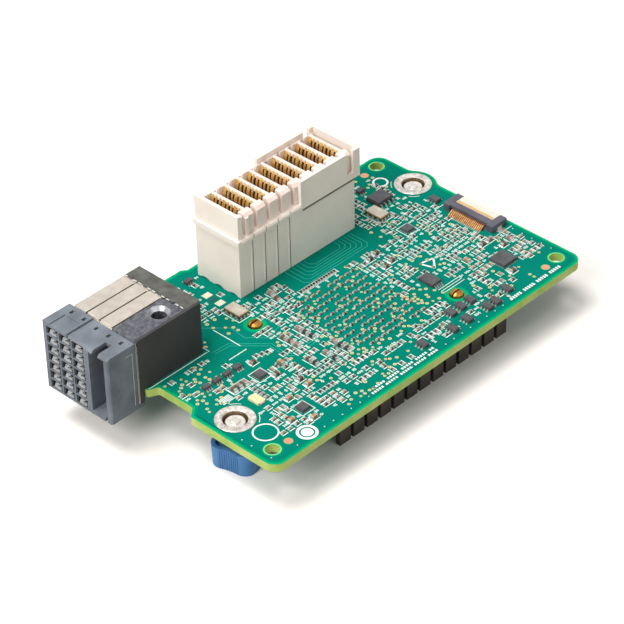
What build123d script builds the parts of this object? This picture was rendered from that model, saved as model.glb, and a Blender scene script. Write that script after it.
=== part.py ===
from build123d import *
import os
from math import cos, pi, radians, sin

# Ethernet adapter card, lying with its connector side up.
# Millimetres. While it is drawn, the origin is the front left corner of the board's top face,
# with X along the front edge, Y across the card and Z up.
# Each solid is moved at the end, so that the card stands centred on Z = 0.

# Circuit board
board_length = 100.0
board_width = 63.5
board_thickness = 2.0
corner_radius = 3.0
edge_radius = 0.7
notch_front = 25.0
notch_back = 38.3
notch_depth = 2.4
notch_slope_front = 1.9
notch_slope_back = 1.1
tab_overhang = 1.0
tab_end = 35.0
tab_slope = 1.3
ear_radius = 5.7
ear_blend = 3.0

# Tooling holes, for two screws along the front edge and one at the back right corner
hole_radius = 1.65
hole_inset_x = 4.0
hole_inset_front = 4.75
hole_inset_back = 3.25

# Height of the board's top face above the surface that the card lies on
standing_height = 11.9

# Captive thumbscrews
front_screw_x = 5.75
front_screw_y = 17.45
rear_screw_inset = 3.75
rear_screw_y = 48.75
ferrule_flange_radius = 4.5
ferrule_flange_height = 0.25
ferrule_barrel_radius = 3.2
ferrule_drop = 2.4
ferrule_bore_radius = 2.75
ferrule_lip_height = 0.8
neck_radius = 1.6
thread_radius = 2.25
thread_length = 3.3
tip_dome = 0.5
running_gap = 0.07
stop_gap = 0.05
washer_radius = 2.3
washer_thickness = 0.4
knob_length = 10.8
knob_width = 7.2
knob_height = 5.5
knob_end_radius = 2.8
knob_waist_depth = 0.3
knob_waist_radius = 12.0
knob_taper = 2.0
knob_turn = 13.6
knob_wall = 0.9
knob_recess_depth = 1.2
knob_floor = 1.4

# Backplane wafers
wafer_pitch = 4.05

# Tall mezzanine connector
mezz_x = 36.75
mezz_y = 46.75
mezz_depth = 13.7
mezz_length = 37.2
mezz_pitch = 3.9
mezz_first = 0.45
mezz_wafers = 9
mezz_open_wafers = 5
mezz_base_height = 14.3
mezz_top = 21.8
seam_width = 0.22
seam_depth = 0.4
seam_count = 4
arch_count = 3
arch_width = 3.0
arch_height = 0.45
arch_depth = 1.0
shroud_floor = 1.3
shroud_lip = 0.5
shroud_wall = 0.9
end_pocket = 1.4
end_gap_width = 2.0
end_gap_inset = 2.75
end_gap_sill = 1.7
tall_wall_lead = 0.6
pillar_radius = 0.95
pillar_drop = 0.5
rib_length = 0.9
rib_drop = 1.4
ledge_notch = 0.35
blade_offset = 3.4
blade_thickness = 1.0
blade_drop = 0.9
post_offset = 2.1
post_length = 2.9
post_front_depth = 2.1
post_back_depth = 0.9
post_setback = 0.5
post_drop = 0.8
post_chamfer = 0.7
seat_gap = 0.05
contact_count = 8
contact_pitch = 1.2
contact_back_inset = 2.0
contact_wide = 0.95
contact_narrow = 0.55
contact_thickness = 0.2
contact_bow = 0.45
contact_drop = 0.15
comb_depth = 0.3

# Right-angle backplane connector
back_front = -9.95
back_rear = -2.1
back_right = 38.9
back_width = 20.3
back_bottom = -4.05
back_top = 13.4
back_side_wall = 0.8
raised_height = 0.5
raised_width = 7.6
recess_depth = 0.3
recess_length = 4.5
recess_right = 0.5
recess_left = 2.2
nose_bevel = 0.6
back_chamfer = 0.35
foot_length = 9.7
foot_thickness = 0.85
cell_columns = 3
cell_rows = 7
cell_pitch = 2.4
cell_width = 3.55
cell_height = 2.1
cell_depth = 1.4
cell_bottom_margin = 0.45
blade_contact_thickness = 0.5
cell_clearance = 0.1
guide_wall = 1.35
guide_width = 4.7
guide_depth = 7.1
guide_floor = 0.95
guide_ceiling = 0.9
guide_slot_width = 1.8
guide_slot_depth = 4.25
guide_slot_offset = 1.8
window_width = 0.8
window_length = 1.2
window_depth = 0.6
window_x = -4.4
window_inset = 2.3
window_pitch = 3.83
window_count = 5
block_width = 6.5
side_plate_thickness = 0.75
wafer_gap = 0.1
wafer_top = 13.6
wafer_bevel = 0.8
wafer_rear = 17.2
step_x = 13.4
step_depth = 0.5
stiffener_thickness = 0.5
tab_count = 7
tab_width = 1.5
tab_length = 0.35
board_clearance = 0.25
block_hole_x = 8.8
block_hole_radius = 1.75
block_sink_radius = 2.5
block_sink_depth = 0.9
block_hole_depth = 11.0

# Flat-cable connector
cable_inset = 6.7
cable_length = 15.0
cable_y = 21.6
cable_depth = 5.1
cable_height = 1.9
cable_floor = 0.45
cable_roof = 0.75
cable_roof_depth = 2.2
cable_cheek = 1.8
cable_contact_count = 20
cable_contact_pitch = 0.5
cable_contact_width = 0.26
cable_contact_thickness = 0.15
cable_tail = 1.3
latch_thickness = 0.8
latch_side_gap = 0.15
latch_pin_radius = 0.3
latch_pin_length = 0.5
latch_rear_gap = 0.55
hold_down_width = 1.0
hold_down_depth = 1.6
hold_down_thickness = 0.15

# Cooling, all under the board
chip_side = 25.0
chip_height = 2.2
pad_side = 24.0
pad_thickness = 0.3
sink_front = 5.05
sink_left = 24.6
sink_blade_width = 3.33
sink_blade_pitch = 4.28
sink_columns = 13
sink_blade_depth = 1.3
sink_row_pitch = 3.5
sink_rows = 12
sink_base = 1.6
sink_pin_clear = 3.1
pin_left_x = 32.0
pin_left_y = 37.6
pin_right_x = 70.3
pin_right_y = 12.2
pin_hole_radius = 1.75
pin_radius = 1.25
pin_barb_radius = 1.5
pin_tip_height = 1.0
pin_slit = 0.45
pin_head_radius = 2.4
pin_head_thickness = 0.7
pin_head_drop = 9.6
spring_radius = 1.95
spring_wire = 0.22
spring_turns = 3.5
spring_sides = 12

# Chips with bent leads
lead_thickness = 0.15
lead_foot = 0.45
chip_standoff = 0.1
memory_place = (85.9, 49.9)
memory_length = 4.9
memory_width = 3.9
memory_height = 1.5
memory_lead_pitch = 1.27
memory_lead_width = 0.42
memory_lead_reach = 1.05
regulator_place = (69.8, 19.8)
regulator_length = 3.1
regulator_width = 4.3
regulator_height = 1.0
regulator_lead_pitch = 0.65
regulator_lead_width = 0.25
regulator_lead_reach = 1.0
leads_each_side = 4
power_place = (87.2, 13.0)
power_side = 4.6
power_height = 0.9
small_power_side = 2.4
small_power_height = 0.8
logic_length = 2.0
logic_width = 1.3
logic_height = 0.9
logic_large = 1.3

# Oscillators, tantalum part and passives
oscillator_width = 3.2
oscillator_length = 5.0
oscillator_height = 0.85
oscillator_lid_height = 0.3
oscillator_lid_margin = 0.15
tantalum_place = (13.3, 18.6)
tantalum_length = 3.2
tantalum_width = 2.2
tantalum_height = 0.6
large_length = 1.6
large_width = 0.95
large_height = 0.85
small_length = 1.0
small_width = 0.52
small_height = 0.5
resistor_height = 0.35

# Values that follow from those above
mezz_end = mezz_x + mezz_length + end_pocket
mezz_back = mezz_y + mezz_depth
floor_top = mezz_base_height + shroud_floor
blade_top = mezz_top - blade_drop
blade_front = mezz_y + post_setback + post_front_depth
blade_back = mezz_back - post_setback - post_back_depth
back_left = back_right + back_width
first_column = back_left - back_side_wall - wafer_pitch
back_board = -board_clearance
rear_screw_x = board_length - rear_screw_inset
cable_front = board_length - cable_inset
board_bottom = -board_thickness
ferrule_bottom = board_bottom - ferrule_drop
knob_top = knob_height - standing_height
chip_bottom = board_bottom - chip_height
sink_top = chip_bottom - pad_thickness
sink_length = sink_blade_pitch * (sink_columns - 1) + sink_blade_width
sink_depth = sink_row_pitch * (sink_rows - 1) + sink_blade_depth
sink_centre_x = sink_left + sink_length / 2
sink_centre_y = sink_front + sink_depth / 2
latch_axis_x = cable_front + cable_depth - latch_rear_gap
latch_axis_z = cable_height - latch_thickness / 2

# Places of the chips and passives, read off the board, in rows of equal steps:
# first centre X and Y, step X and Y, how many
logic_rows_along_x = [
    (9.0, 29.4, 3.1, 0.0, 4),
    (33.0, 59.8, 0.0, 0.0, 1),
    (85.4, 55.6, 0.0, 0.0, 1),
]
logic_rows_along_y = [
    (64.0, 8.4, 3.2, 0.0, 3),
    (71.2, 3.9, 2.7, 0.0, 2),
    (59.9, 4.2, 4.8, 0.0, 2),
    (51.3, 5.4, 0.0, 0.0, 1),
    (79.1, 5.0, 0.0, 0.0, 1),
    (94.6, 40.4, 0.0, 0.0, 1),
]
small_power_places = [(19.9, 24.1), (18.0, 9.5), (81.5, 37.2)]
oscillator_places = [(32.4, 43.8), (81.2, 46.3)]
large_rows_along_x = [
    (22.0, 28.2, 0.0, 0.0, 1),
    (24.7, 16.7, 0.0, -2.4, 2),
    (18.3, 13.9, 0.0, -1.9, 1),
    (13.4, 8.4, 0.0, 0.0, 1),
    (17.4, 5.6, 0.0, 0.0, 1),
    (22.4, 21.6, 0.0, 0.0, 1),
    (67.0, 35.4, 2.6, 0.6, 2),
    (67.4, 30.9, 2.6, 0.6, 2),
    (91.8, 16.8, 0.0, 0.0, 1),
    (85.4, 8.6, 0.0, 0.0, 1),
    (88.6, 20.4, 2.4, 0.0, 2),
]
large_rows_along_y = [
    (12.4, 24.6, 1.65, 0.0, 3),
    (26.0, 23.7, 0.0, 0.0, 1),
    (32.6, 29.5, 0.1, -2.0, 3),
    (37.1, 29.3, 0.1, -2.0, 3),
    (39.2, 20.5, 0.0, -2.0, 3),
    (30.8, 20.1, 0.0, -2.0, 2),
    (35.0, 18.8, 0.0, -2.6, 2),
    (42.3, 43.0, -0.4, -2.4, 2),
    (94.4, 17.4, 0.0, 0.0, 1),
    (81.4, 18.8, 0.0, 0.0, 1),
]
small_rows_along_x = [
    (29.5, 34.6, 1.7, 0.0, 3),
    (43.6, 35.6, -1.9, 0.5, 4),
    (36.0, 36.6, 0.0, -1.5, 3),
    (27.4, 21.2, 0.0, -1.4, 4),
    (15.6, 21.6, 0.0, -1.3, 4),
    (22.2, 6.8, 0.0, 1.4, 4),
    (9.8, 27.0, 1.6, 0.0, 2),
    (70.6, 26.6, 0.0, -1.4, 2),
    (64.6, 26.2, 0.0, -1.5, 4),
    (74.0, 33.0, 2.1, 0.4, 4),
    (73.4, 36.2, 2.2, 0.0, 3),
    (77.6, 40.2, 2.2, 0.3, 6),
    (79.0, 43.0, 4.6, 0.0, 3),
    (84.6, 33.2, 2.2, 0.0, 4),
    (83.4, 29.6, 2.2, 0.0, 4),
    (81.0, 26.2, 2.2, 0.0, 5),
    (90.4, 24.0, 0.0, -1.5, 2),
    (78.2, 14.2, 0.0, -1.4, 4),
    (92.6, 12.6, 0.0, -1.5, 3),
    (54.6, 9.8, 2.0, 0.0, 5),
    (43.8, 9.4, 2.0, 0.0, 3),
    (78.6, 52.6, 0.0, 1.6, 5),
    (89.8, 54.6, 0.0, -1.7, 3),
]
small_rows_along_y = [
    (47.6, 38.4, 0.82, 0.0, 14),
    (17.2, 31.8, 1.2, 0.0, 1),
    (24.2, 29.4, 1.3, -0.4, 3),
    (28.4, 15.8, 1.3, 0.0, 5),
    (24.6, 10.6, 1.3, 0.0, 4),
    (28.6, 25.6, 1.3, 0.0, 2),
    (34.6, 38.4, 1.4, 0.0, 2),
    (76.0, 29.6, 1.3, 0.0, 4),
    (74.6, 18.4, 1.3, 0.0, 4),
    (79.4, 22.6, 1.3, 0.0, 3),
    (88.6, 27.8, 1.3, 0.0, 2),
    (88.0, 36.6, 1.3, 0.0, 3),
    (61.0, 12.6, 1.4, 0.0, 4),
    (54.2, 6.6, 1.4, 0.0, 4),
    (80.6, 50.6, 0.0, 1.9, 3),
    (36.6, 12.0, 1.4, 0.0, 4),
]


def slab(x0, x1, y0, y1, z0, z1):
    """A block between two corners."""
    return Pos((x0 + x1) / 2, (y0 + y1) / 2, (z0 + z1) / 2) * Box(x1 - x0, y1 - y0, z1 - z0)


def rod(x, y, z0, z1, radius):
    """An upright cylinder."""
    return Pos(x, y, (z0 + z1) / 2) * Cylinder(radius, z1 - z0)


def turned(points):
    """A turned part, from its half profile of radius and height."""
    profile = make_face(Polyline(*[(r, 0, z) for r, z in points], close=True))
    return revolve(profile, Axis.Z)


def strip_along_y(points, y, width):
    """A profile of X and Z, drawn out along Y around the place y."""
    face = make_face(Polyline(*[(px, y + width / 2, pz) for px, pz in points], close=True))
    return extrude(face, amount=width, dir=(0, -1, 0))


def strip_along_x(points, x, width):
    """A profile of Y and Z, drawn out along X around the place x."""
    face = make_face(Polyline(*[(x - width / 2, py, pz) for py, pz in points], close=True))
    return extrude(face, amount=width, dir=(1, 0, 0))


def places(rows):
    """The centres that a list of rows stands for."""
    found = []
    for x, y, step_x, step_y, count in rows:
        for i in range(count):
            found.append((x + i * step_x, y + i * step_y))
    return found


def group(solids):
    """Several separate solids of one kind."""
    return Compound(children=solids)


def tooling_holes():
    back = board_width - hole_inset_back
    right = board_length - hole_inset_x
    return [(hole_inset_x, hole_inset_front), (right, hole_inset_front), (right, back)]


def screw_places():
    return [(front_screw_x, front_screw_y), (rear_screw_x, rear_screw_y)]


def pin_places():
    return [(pin_left_x, pin_left_y), (pin_right_x, pin_right_y)]


def circuit_board():
    back = board_width + tab_overhang
    outline = [
        (0, 0),
        (board_length, 0),
        (board_length, board_width),
        (tab_end + tab_slope, board_width),
        (tab_end, back),
        (0, back),
        (0, notch_back),
        (notch_depth, notch_back - notch_slope_back),
        (notch_depth, notch_front + notch_slope_front),
        (0, notch_front),
    ]
    face = make_face(Polyline(*outline, close=True))
    face += Pos(rear_screw_x, rear_screw_y) * Circle(ear_radius)
    edge = face.vertices().filter_by(lambda v: abs(v.X - board_length) < 0.01)
    ear = edge.filter_by(lambda v: abs(v.Y - rear_screw_y) < ear_radius)
    face = fillet(ear, ear_blend)
    corners = [(0, 0), (board_length, 0), (board_length, board_width)]
    sharp = face.vertices().filter_by(lambda v: (round(v.X, 3), round(v.Y, 3)) in corners)
    face = fillet(sharp, corner_radius)
    steps = face.vertices().filter_by(
        lambda v: v.X < notch_depth + 0.01 and notch_front - 0.1 < v.Y < notch_back + 0.1)
    face = fillet(steps, edge_radius)
    for x, y in tooling_holes():
        face -= Pos(x, y) * Circle(hole_radius)
    for x, y in screw_places():
        face -= Pos(x, y) * Circle(ferrule_barrel_radius)
    for x, y in pin_places():
        face -= Pos(x, y) * Circle(pin_hole_radius)
    return extrude(face, amount=-board_thickness)


# Captive thumbscrews

def ferrule(x, y):
    bore = ferrule_bore_radius
    lip = neck_radius + running_gap
    lip_top = ferrule_bottom + ferrule_lip_height
    profile = [
        (lip, ferrule_bottom),
        (ferrule_barrel_radius, ferrule_bottom),
        (ferrule_barrel_radius, 0),
        (ferrule_flange_radius, 0),
        (ferrule_flange_radius, ferrule_flange_height),
        (bore, ferrule_flange_height),
        (bore, lip_top),
        (lip, lip_top),
    ]
    return Pos(x, y) * turned(profile)


def captive_screw(x, y):
    shoulder = ferrule_bottom + ferrule_lip_height + stop_gap
    tip = shoulder + thread_length
    profile = [
        (0, knob_floor - standing_height),
        (neck_radius, knob_floor - standing_height),
        (neck_radius, shoulder),
        (thread_radius, shoulder),
        (thread_radius, tip - tip_dome),
        (thread_radius - tip_dome, tip),
        (0, tip),
    ]
    return Pos(x, y) * turned(profile)


def screw_washer(x, y):
    seat = knob_top - knob_recess_depth + stop_gap
    inner = neck_radius + running_gap
    profile = [
        (inner, seat),
        (washer_radius, seat),
        (washer_radius, seat + washer_thickness),
        (inner, seat + washer_thickness),
    ]
    return Pos(x, y) * turned(profile)


def knob_outline(inset):
    shape = RectangleRounded(knob_width - 2 * inset, knob_length - 2 * inset,
                             knob_end_radius - inset)
    reach = knob_width / 2 - knob_waist_depth + knob_waist_radius
    for side in (-1, 1):
        shape -= Pos(side * reach, 0) * Circle(knob_waist_radius + inset)
    return shape


def knob(x, y):
    top = Plane.XY.offset(knob_top)
    body = extrude(top * knob_outline(0), amount=-knob_height, taper=knob_taper)
    body -= extrude(top * knob_outline(knob_wall), amount=-knob_recess_depth)
    body -= rod(0, 0, knob_floor - standing_height, knob_top, neck_radius)
    return Pos(x, y) * Rot(0, 0, knob_turn) * body


# Tall mezzanine connector

def wafer_start(i):
    return mezz_x + mezz_first + i * mezz_pitch


def mezzanine_base():
    body = slab(mezz_x, mezz_x + mezz_length, mezz_y, mezz_back, 0, mezz_base_height)
    for i in range(1, seam_count + 1):
        x = wafer_start(i)
        for y0, y1 in ((mezz_y, mezz_y + seam_depth), (mezz_back - seam_depth, mezz_back)):
            body -= slab(x - seam_width / 2, x + seam_width / 2, y0, y1, 0, mezz_base_height)
    radius = (arch_width ** 2 / 4 + arch_height ** 2) / (2 * arch_height)
    spacing = mezz_depth / arch_count
    for i in range(arch_count):
        y = mezz_y + spacing * (i + 0.5)
        arch = Rot(0, 90, 0) * Cylinder(radius, arch_depth)
        body -= Pos(mezz_x + arch_depth / 2, y, arch_height - radius) * arch
    return body


def mezzanine_shroud():
    low = mezz_base_height
    front = mezz_y - shroud_lip
    back = mezz_back + shroud_lip
    left = mezz_x - shroud_lip
    open_end = wafer_start(mezz_open_wafers) - tall_wall_lead
    body = slab(left, mezz_end, front, back, low, floor_top)
    body += slab(mezz_x, mezz_x + shroud_wall, mezz_y, mezz_back, floor_top, mezz_top)
    for y in (mezz_y + pillar_radius, mezz_back - pillar_radius):
        body += rod(mezz_x + pillar_radius, y, floor_top, mezz_top - pillar_drop, pillar_radius)
    rib_start = wafer_start(0) + post_offset
    rib_end = mezz_y + post_setback - seat_gap
    body += slab(rib_start, rib_start + rib_length, mezz_y, rib_end, floor_top, mezz_top - rib_drop)
    for y0, y1 in ((front, front + shroud_wall), (back - shroud_wall, back)):
        body += slab(open_end, mezz_end, y0, y1, floor_top, mezz_top)
    body += slab(mezz_end - shroud_wall, mezz_end, front, back, floor_top, mezz_top)
    gap = mezz_x + mezz_length - end_gap_inset
    sill = low + end_gap_sill
    for y0, y1 in ((front, front + shroud_wall), (back - shroud_wall, back)):
        body -= slab(gap, gap + end_gap_width, y0, y1, sill, mezz_top)
    for i in range(mezz_wafers):
        x = wafer_start(i) + blade_offset - seat_gap
        body -= slab(x, x + blade_thickness + 2 * seat_gap, blade_front - seat_gap,
                     blade_back + seat_gap, low, floor_top)
    for i in range(1, mezz_open_wafers):
        x = wafer_start(i)
        for y0, y1 in ((front, mezz_y), (mezz_back, back)):
            body -= slab(x - ledge_notch / 2, x + ledge_notch / 2, y0, y1, low, floor_top)
    return body


def contact_width(j):
    return contact_wide if j % 3 == 0 else contact_narrow


def contact_y(j):
    return mezz_back - contact_back_inset - j * contact_pitch


def mezzanine_wafer(i):
    """A comb-sided blade between a broad post at its front end and a narrow one at its back."""
    x = wafer_start(i) + blade_offset
    body = slab(x, x + blade_thickness, blade_front, blade_back, mezz_base_height, blade_top)
    post = wafer_start(i) + post_offset
    high = mezz_top - post_drop
    for depth, outer, inward in ((post_front_depth, mezz_y + post_setback, 1),
                                 (post_back_depth, mezz_back - post_setback, -1)):
        profile = [
            (outer, floor_top),
            (outer, high - post_chamfer),
            (outer + inward * post_chamfer, high),
            (outer + inward * depth, high),
            (outer + inward * depth, floor_top),
        ]
        body += strip_along_x(profile, post + post_length / 2, post_length)
    for j in range(contact_count):
        half = contact_width(j) / 2 + seat_gap
        y = contact_y(j)
        body -= slab(x, x + comb_depth, y - half, y + half, floor_top, blade_top)
    return body


def mezzanine_contact(i, j):
    x = wafer_start(i) + blade_offset + comb_depth
    top = blade_top - contact_drop
    profile = [
        (x, floor_top + seat_gap),
        (x - contact_thickness, floor_top + seat_gap),
        (x - comb_depth - contact_bow, top - 2 * contact_bow),
        (x - contact_thickness, top),
        (x, top),
    ]
    return strip_along_y(profile, contact_y(j), contact_width(j))


# Right-angle backplane connector

def column_y(i):
    return first_column - i * wafer_pitch


def cell_places():
    found = []
    for i in range(cell_columns):
        for k in range(cell_rows):
            y = column_y(i) + (wafer_pitch - cell_width) / 2
            z = back_bottom + cell_bottom_margin + k * cell_pitch
            found.append((y, z))
    return found


def backplane_housing():
    body = slab(back_front, back_rear, back_right, back_left, back_bottom, back_top)
    raised = back_left - raised_width
    raised_top = back_top + raised_height
    body += slab(back_front, back_rear, raised, back_left, back_top, raised_top)
    foot_end = back_front + foot_length
    body += slab(back_rear, foot_end, back_right, back_left, back_bottom,
                 back_bottom + foot_thickness)
    corner = body.edges().filter_by(Axis.Z).filter_by(
        lambda e: e.center().X < back_front + seat_gap and e.center().Y < back_right + seat_gap)
    body = chamfer(corner, back_chamfer)
    nose = body.edges().filter_by(Axis.Y).filter_by(
        lambda e: e.center().X < back_front + seat_gap and abs(e.center().Z - back_top) < seat_gap)
    body = chamfer(nose, nose_bevel)
    body -= slab(back_front, back_front + recess_length, raised + recess_right,
                 back_left - recess_left, raised_top - recess_depth, raised_top)
    for y, z in cell_places():
        body -= slab(back_front, back_front + cell_depth, y, y + cell_width, z, z + cell_height)
    guide = back_right + guide_wall
    body -= slab(back_front, back_front + guide_depth, guide, guide + guide_width,
                 back_bottom + guide_floor, back_top - guide_ceiling)
    slot = guide + guide_slot_offset
    body -= slab(back_front, back_front + guide_slot_depth, slot, slot + guide_slot_width,
                 back_top - guide_ceiling, back_top)
    body -= slab(back_front, back_front + cell_depth, guide, guide + cell_depth / 2,
                 back_bottom, back_bottom + guide_floor)
    for i in range(window_count):
        y = back_left - window_inset - i * window_pitch
        top = raised_top if y > raised else back_top
        body -= slab(window_x, window_x + window_length, y - window_width, y,
                     top - window_depth, top)
    return body


def backplane_contact(y, z):
    """A grounding shield of L section, held in a corner of its cavity."""
    t = blade_contact_thickness
    y0 = y + cell_clearance
    y1 = y + cell_width - cell_clearance
    z0 = z + cell_clearance
    z1 = z + cell_height - cell_clearance
    outline = [(y0, z1), (y0, z1 - t), (y1 - t, z1 - t), (y1 - t, z0), (y1, z0), (y1, z1)]
    length = cell_depth - cell_clearance
    return strip_along_x(outline, back_front + cell_depth - length / 2, length)


def rear_profile(stepped):
    """Side outline of what lies behind the housing: in front of the board's edge it hangs down."""
    foot_top = back_bottom + foot_thickness
    outline = [
        (back_rear + wafer_bevel, wafer_top),
        (back_rear, wafer_top - wafer_bevel),
        (back_rear, foot_top),
        (back_board, foot_top),
        (back_board, 0),
        (wafer_rear, 0),
    ]
    if stepped:
        outline.append((wafer_rear, wafer_top - step_depth))
        outline.append((step_x, wafer_top - step_depth))
        outline.append((step_x, wafer_top))
    else:
        outline.append((wafer_rear, wafer_top))
    return outline


def backplane_wafer(i):
    y = column_y(i) + wafer_pitch / 2
    return strip_along_y(rear_profile(True), y, wafer_pitch - 2 * wafer_gap)


def block_y():
    return back_right + side_plate_thickness


def guide_block():
    y0 = block_y()
    y = y0 + block_width / 2
    body = strip_along_y(rear_profile(True), y, block_width)
    body -= rod(block_hole_x, y, wafer_top - block_hole_depth, wafer_top, block_hole_radius)
    sink = Pos(block_hole_x, y, wafer_top - block_sink_depth / 2)
    body -= sink * Cone(block_hole_radius, block_sink_radius, block_sink_depth)
    return body


def side_plate():
    outline = rear_profile(False)
    y = back_right + side_plate_thickness / 2
    return strip_along_y(outline, y, side_plate_thickness)


def stiffener():
    """Bent steel: a top plate with tabs, and a plate down the back."""
    low = wafer_top - step_depth
    high = low + stiffener_thickness
    y0 = back_right + side_plate_thickness
    y1 = column_y(0) + wafer_pitch
    profile = [
        (step_x + seat_gap, low),
        (wafer_rear, low),
        (wafer_rear, 0),
        (wafer_rear + stiffener_thickness, 0),
        (wafer_rear + stiffener_thickness, high),
        (step_x + seat_gap, high),
    ]
    body = strip_along_y(profile, (y0 + y1) / 2, y1 - y0)
    spacing = (y1 - y0) / tab_count
    for i in range(tab_count):
        y = y0 + spacing * (i + 0.5)
        body += slab(step_x - tab_length, step_x + seat_gap, y - tab_width / 2, y + tab_width / 2,
                     high, high + stiffener_thickness / 2)
        body += slab(step_x + seat_gap, step_x + tab_length, y - tab_width / 2, y + tab_width / 2,
                     high, high + stiffener_thickness / 2)
    return body


# Flat-cable connector

def cable_socket():
    rear = cable_front + cable_depth
    far = cable_y + cable_length
    body = slab(cable_front, rear, cable_y, far, 0, cable_floor)
    for y0, y1 in ((cable_y, cable_y + cable_cheek), (far - cable_cheek, far)):
        body += slab(cable_front, rear, y0, y1, cable_floor, cable_height)
    body += slab(cable_front + cable_floor, cable_front + cable_roof_depth, cable_y + cable_cheek,
                 far - cable_cheek, cable_height - cable_roof, cable_height)
    reach = cable_cheek - latch_pin_length - latch_side_gap
    for y in (cable_y + reach, far - cable_cheek):
        depth = cable_cheek - reach
        hole = Rot(90, 0, 0) * Cylinder(latch_pin_radius + running_gap, depth)
        body -= Pos(latch_axis_x, y + depth / 2, latch_axis_z) * hole
    return body


def cable_contact_y(i):
    middle = cable_y + cable_length / 2
    return middle + (i - (cable_contact_count - 1) / 2) * cable_contact_pitch


def cable_contact(i):
    t = cable_contact_thickness
    foot = cable_front - cable_tail
    inside = cable_front + cable_floor
    high = cable_height - cable_roof - seat_gap
    profile = [
        (foot, 0),
        (foot, t),
        (cable_front, high),
        (inside + t, high),
        (inside + t, high - t),
        (cable_front, high - t),
        (foot + t, 0),
    ]
    return strip_along_y(profile, cable_contact_y(i), cable_contact_width)


def cable_latch():
    front = cable_front + cable_roof_depth + latch_side_gap
    half = latch_thickness / 2
    y0 = cable_y + cable_cheek + latch_side_gap
    y1 = cable_y + cable_length - cable_cheek - latch_side_gap
    body = slab(front, latch_axis_x, y0, y1, latch_axis_z - half, latch_axis_z + half)
    barrel = Rot(90, 0, 0) * Cylinder(half, y1 - y0)
    body += Pos(latch_axis_x, (y0 + y1) / 2, latch_axis_z) * barrel
    pins = Rot(90, 0, 0) * Cylinder(latch_pin_radius, y1 - y0 + 2 * latch_pin_length)
    body += Pos(latch_axis_x, (y0 + y1) / 2, latch_axis_z) * pins
    return body


def cable_hold_down(side):
    """A tin-plated bracket at one end of the socket."""
    x = cable_front + cable_depth / 2
    outer = cable_y if side < 0 else cable_y + cable_length
    t = hold_down_thickness
    reach = side * hold_down_width
    outline = [
        (outer, 0),
        (outer + reach, 0),
        (outer + reach, t),
        (outer + side * t, t),
        (outer + side * t, cable_height / 2),
        (outer, cable_height / 2),
    ]
    return strip_along_x(outline, x, hold_down_depth)


# Cooling

def controller_chip():
    return Pos(sink_centre_x, sink_centre_y, chip_bottom + chip_height / 2) * Box(
        chip_side, chip_side, chip_height)


def thermal_pad():
    return Pos(sink_centre_x, sink_centre_y, sink_top + pad_thickness / 2) * Box(
        pad_side, pad_side, pad_thickness)


def heat_sink():
    """An extrusion whose ribs along X are cut across into blades."""
    back = sink_front + sink_depth
    right = sink_left + sink_length
    root = sink_top - sink_base
    body = slab(sink_left, right, sink_front, back, -standing_height, sink_top)
    for i in range(sink_rows - 1):
        y = sink_front + i * sink_row_pitch + sink_blade_depth
        body -= slab(sink_left, right, y, y + sink_row_pitch - sink_blade_depth,
                     -standing_height, root)
    for x, y in pin_places():
        body -= rod(x, y, -standing_height, root, sink_pin_clear)
        body -= rod(x, y, root, sink_top, pin_hole_radius)
    for i in range(sink_columns - 1):
        x = sink_left + i * sink_blade_pitch + sink_blade_width
        body -= slab(x, x + sink_blade_pitch - sink_blade_width, sink_front, back,
                     -standing_height, root)
    return body


def push_pin(x, y):
    """A turned brass pin: head below, barbed tip above the board, split down the middle."""
    head = -pin_head_drop
    profile = [
        (0, head - pin_head_thickness),
        (pin_head_radius, head - pin_head_thickness),
        (pin_head_radius, head),
        (pin_radius, head),
        (pin_radius, 0),
        (pin_barb_radius, 0.1),
        (pin_barb_radius, pin_tip_height / 2),
        (pin_radius * 0.7, pin_tip_height),
        (0, pin_tip_height),
    ]
    body = turned(profile)
    slit = slab(-pin_barb_radius, pin_barb_radius, -pin_slit / 2, pin_slit / 2,
                board_bottom, pin_tip_height)
    return Pos(x, y) * (body - slit)


def pin_spring(x, y):
    """A square-wire spring of short straight runs, between the pin's head and the sink's base."""
    low = -pin_head_drop + spring_wire
    high = sink_top - sink_base - spring_wire
    steps = int(spring_turns * spring_sides)
    points = []
    for i in range(steps + 1):
        angle = 360 * i / spring_sides
        points.append(Vector(spring_radius, 0, low + (high - low) * i / steps).rotate(Axis.Z, angle))
    path = Polyline(*points)
    wire = Plane(origin=path @ 0, z_dir=path % 0) * Rectangle(2 * spring_wire, 2 * spring_wire)
    return Pos(x, y) * sweep(wire, path=path, transition=Transition.RIGHT)


# Chips

def bent_lead(x, y, side, width, reach, height):
    """A gull-wing lead that leaves a body's Y face at side, around the place x."""
    t = lead_thickness
    outline = [
        (y, height),
        (y, height - t),
        (y + side * (reach - lead_foot - t), height - t),
        (y + side * (reach - lead_foot), 0),
        (y + side * reach, 0),
        (y + side * reach, t),
        (y + side * (reach - lead_foot + t), t),
        (y + side * (reach - lead_foot), height),
    ]
    return strip_along_x(outline, x, width)


def chip_body(place, length, width, height):
    x, y = place
    return slab(x - length / 2, x + length / 2, y - width / 2, y + width / 2,
                chip_standoff, height)


def chip_leads(place, width, height, pitch, lead_width, reach):
    x, y = place
    found = []
    for side in (-1, 1):
        for i in range(leads_each_side):
            lead_x = x + (i - (leads_each_side - 1) / 2) * pitch
            found.append(bent_lead(lead_x, y + side * width / 2, side, lead_width, reach,
                                   height / 2))
    return group(found)


def logic_chips():
    """Small six-lead chips, some turned and larger."""
    found = []
    for x, y in places(logic_rows_along_x):
        found.append(slab(x - logic_length / 2, x + logic_length / 2,
                          y - logic_width / 2, y + logic_width / 2, 0, logic_height))
    length = logic_length * logic_large
    width = logic_width * logic_large
    for x, y in places(logic_rows_along_y):
        found.append(slab(x - width / 2, x + width / 2, y - length / 2, y + length / 2,
                          0, logic_height))
    return group(found)


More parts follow.
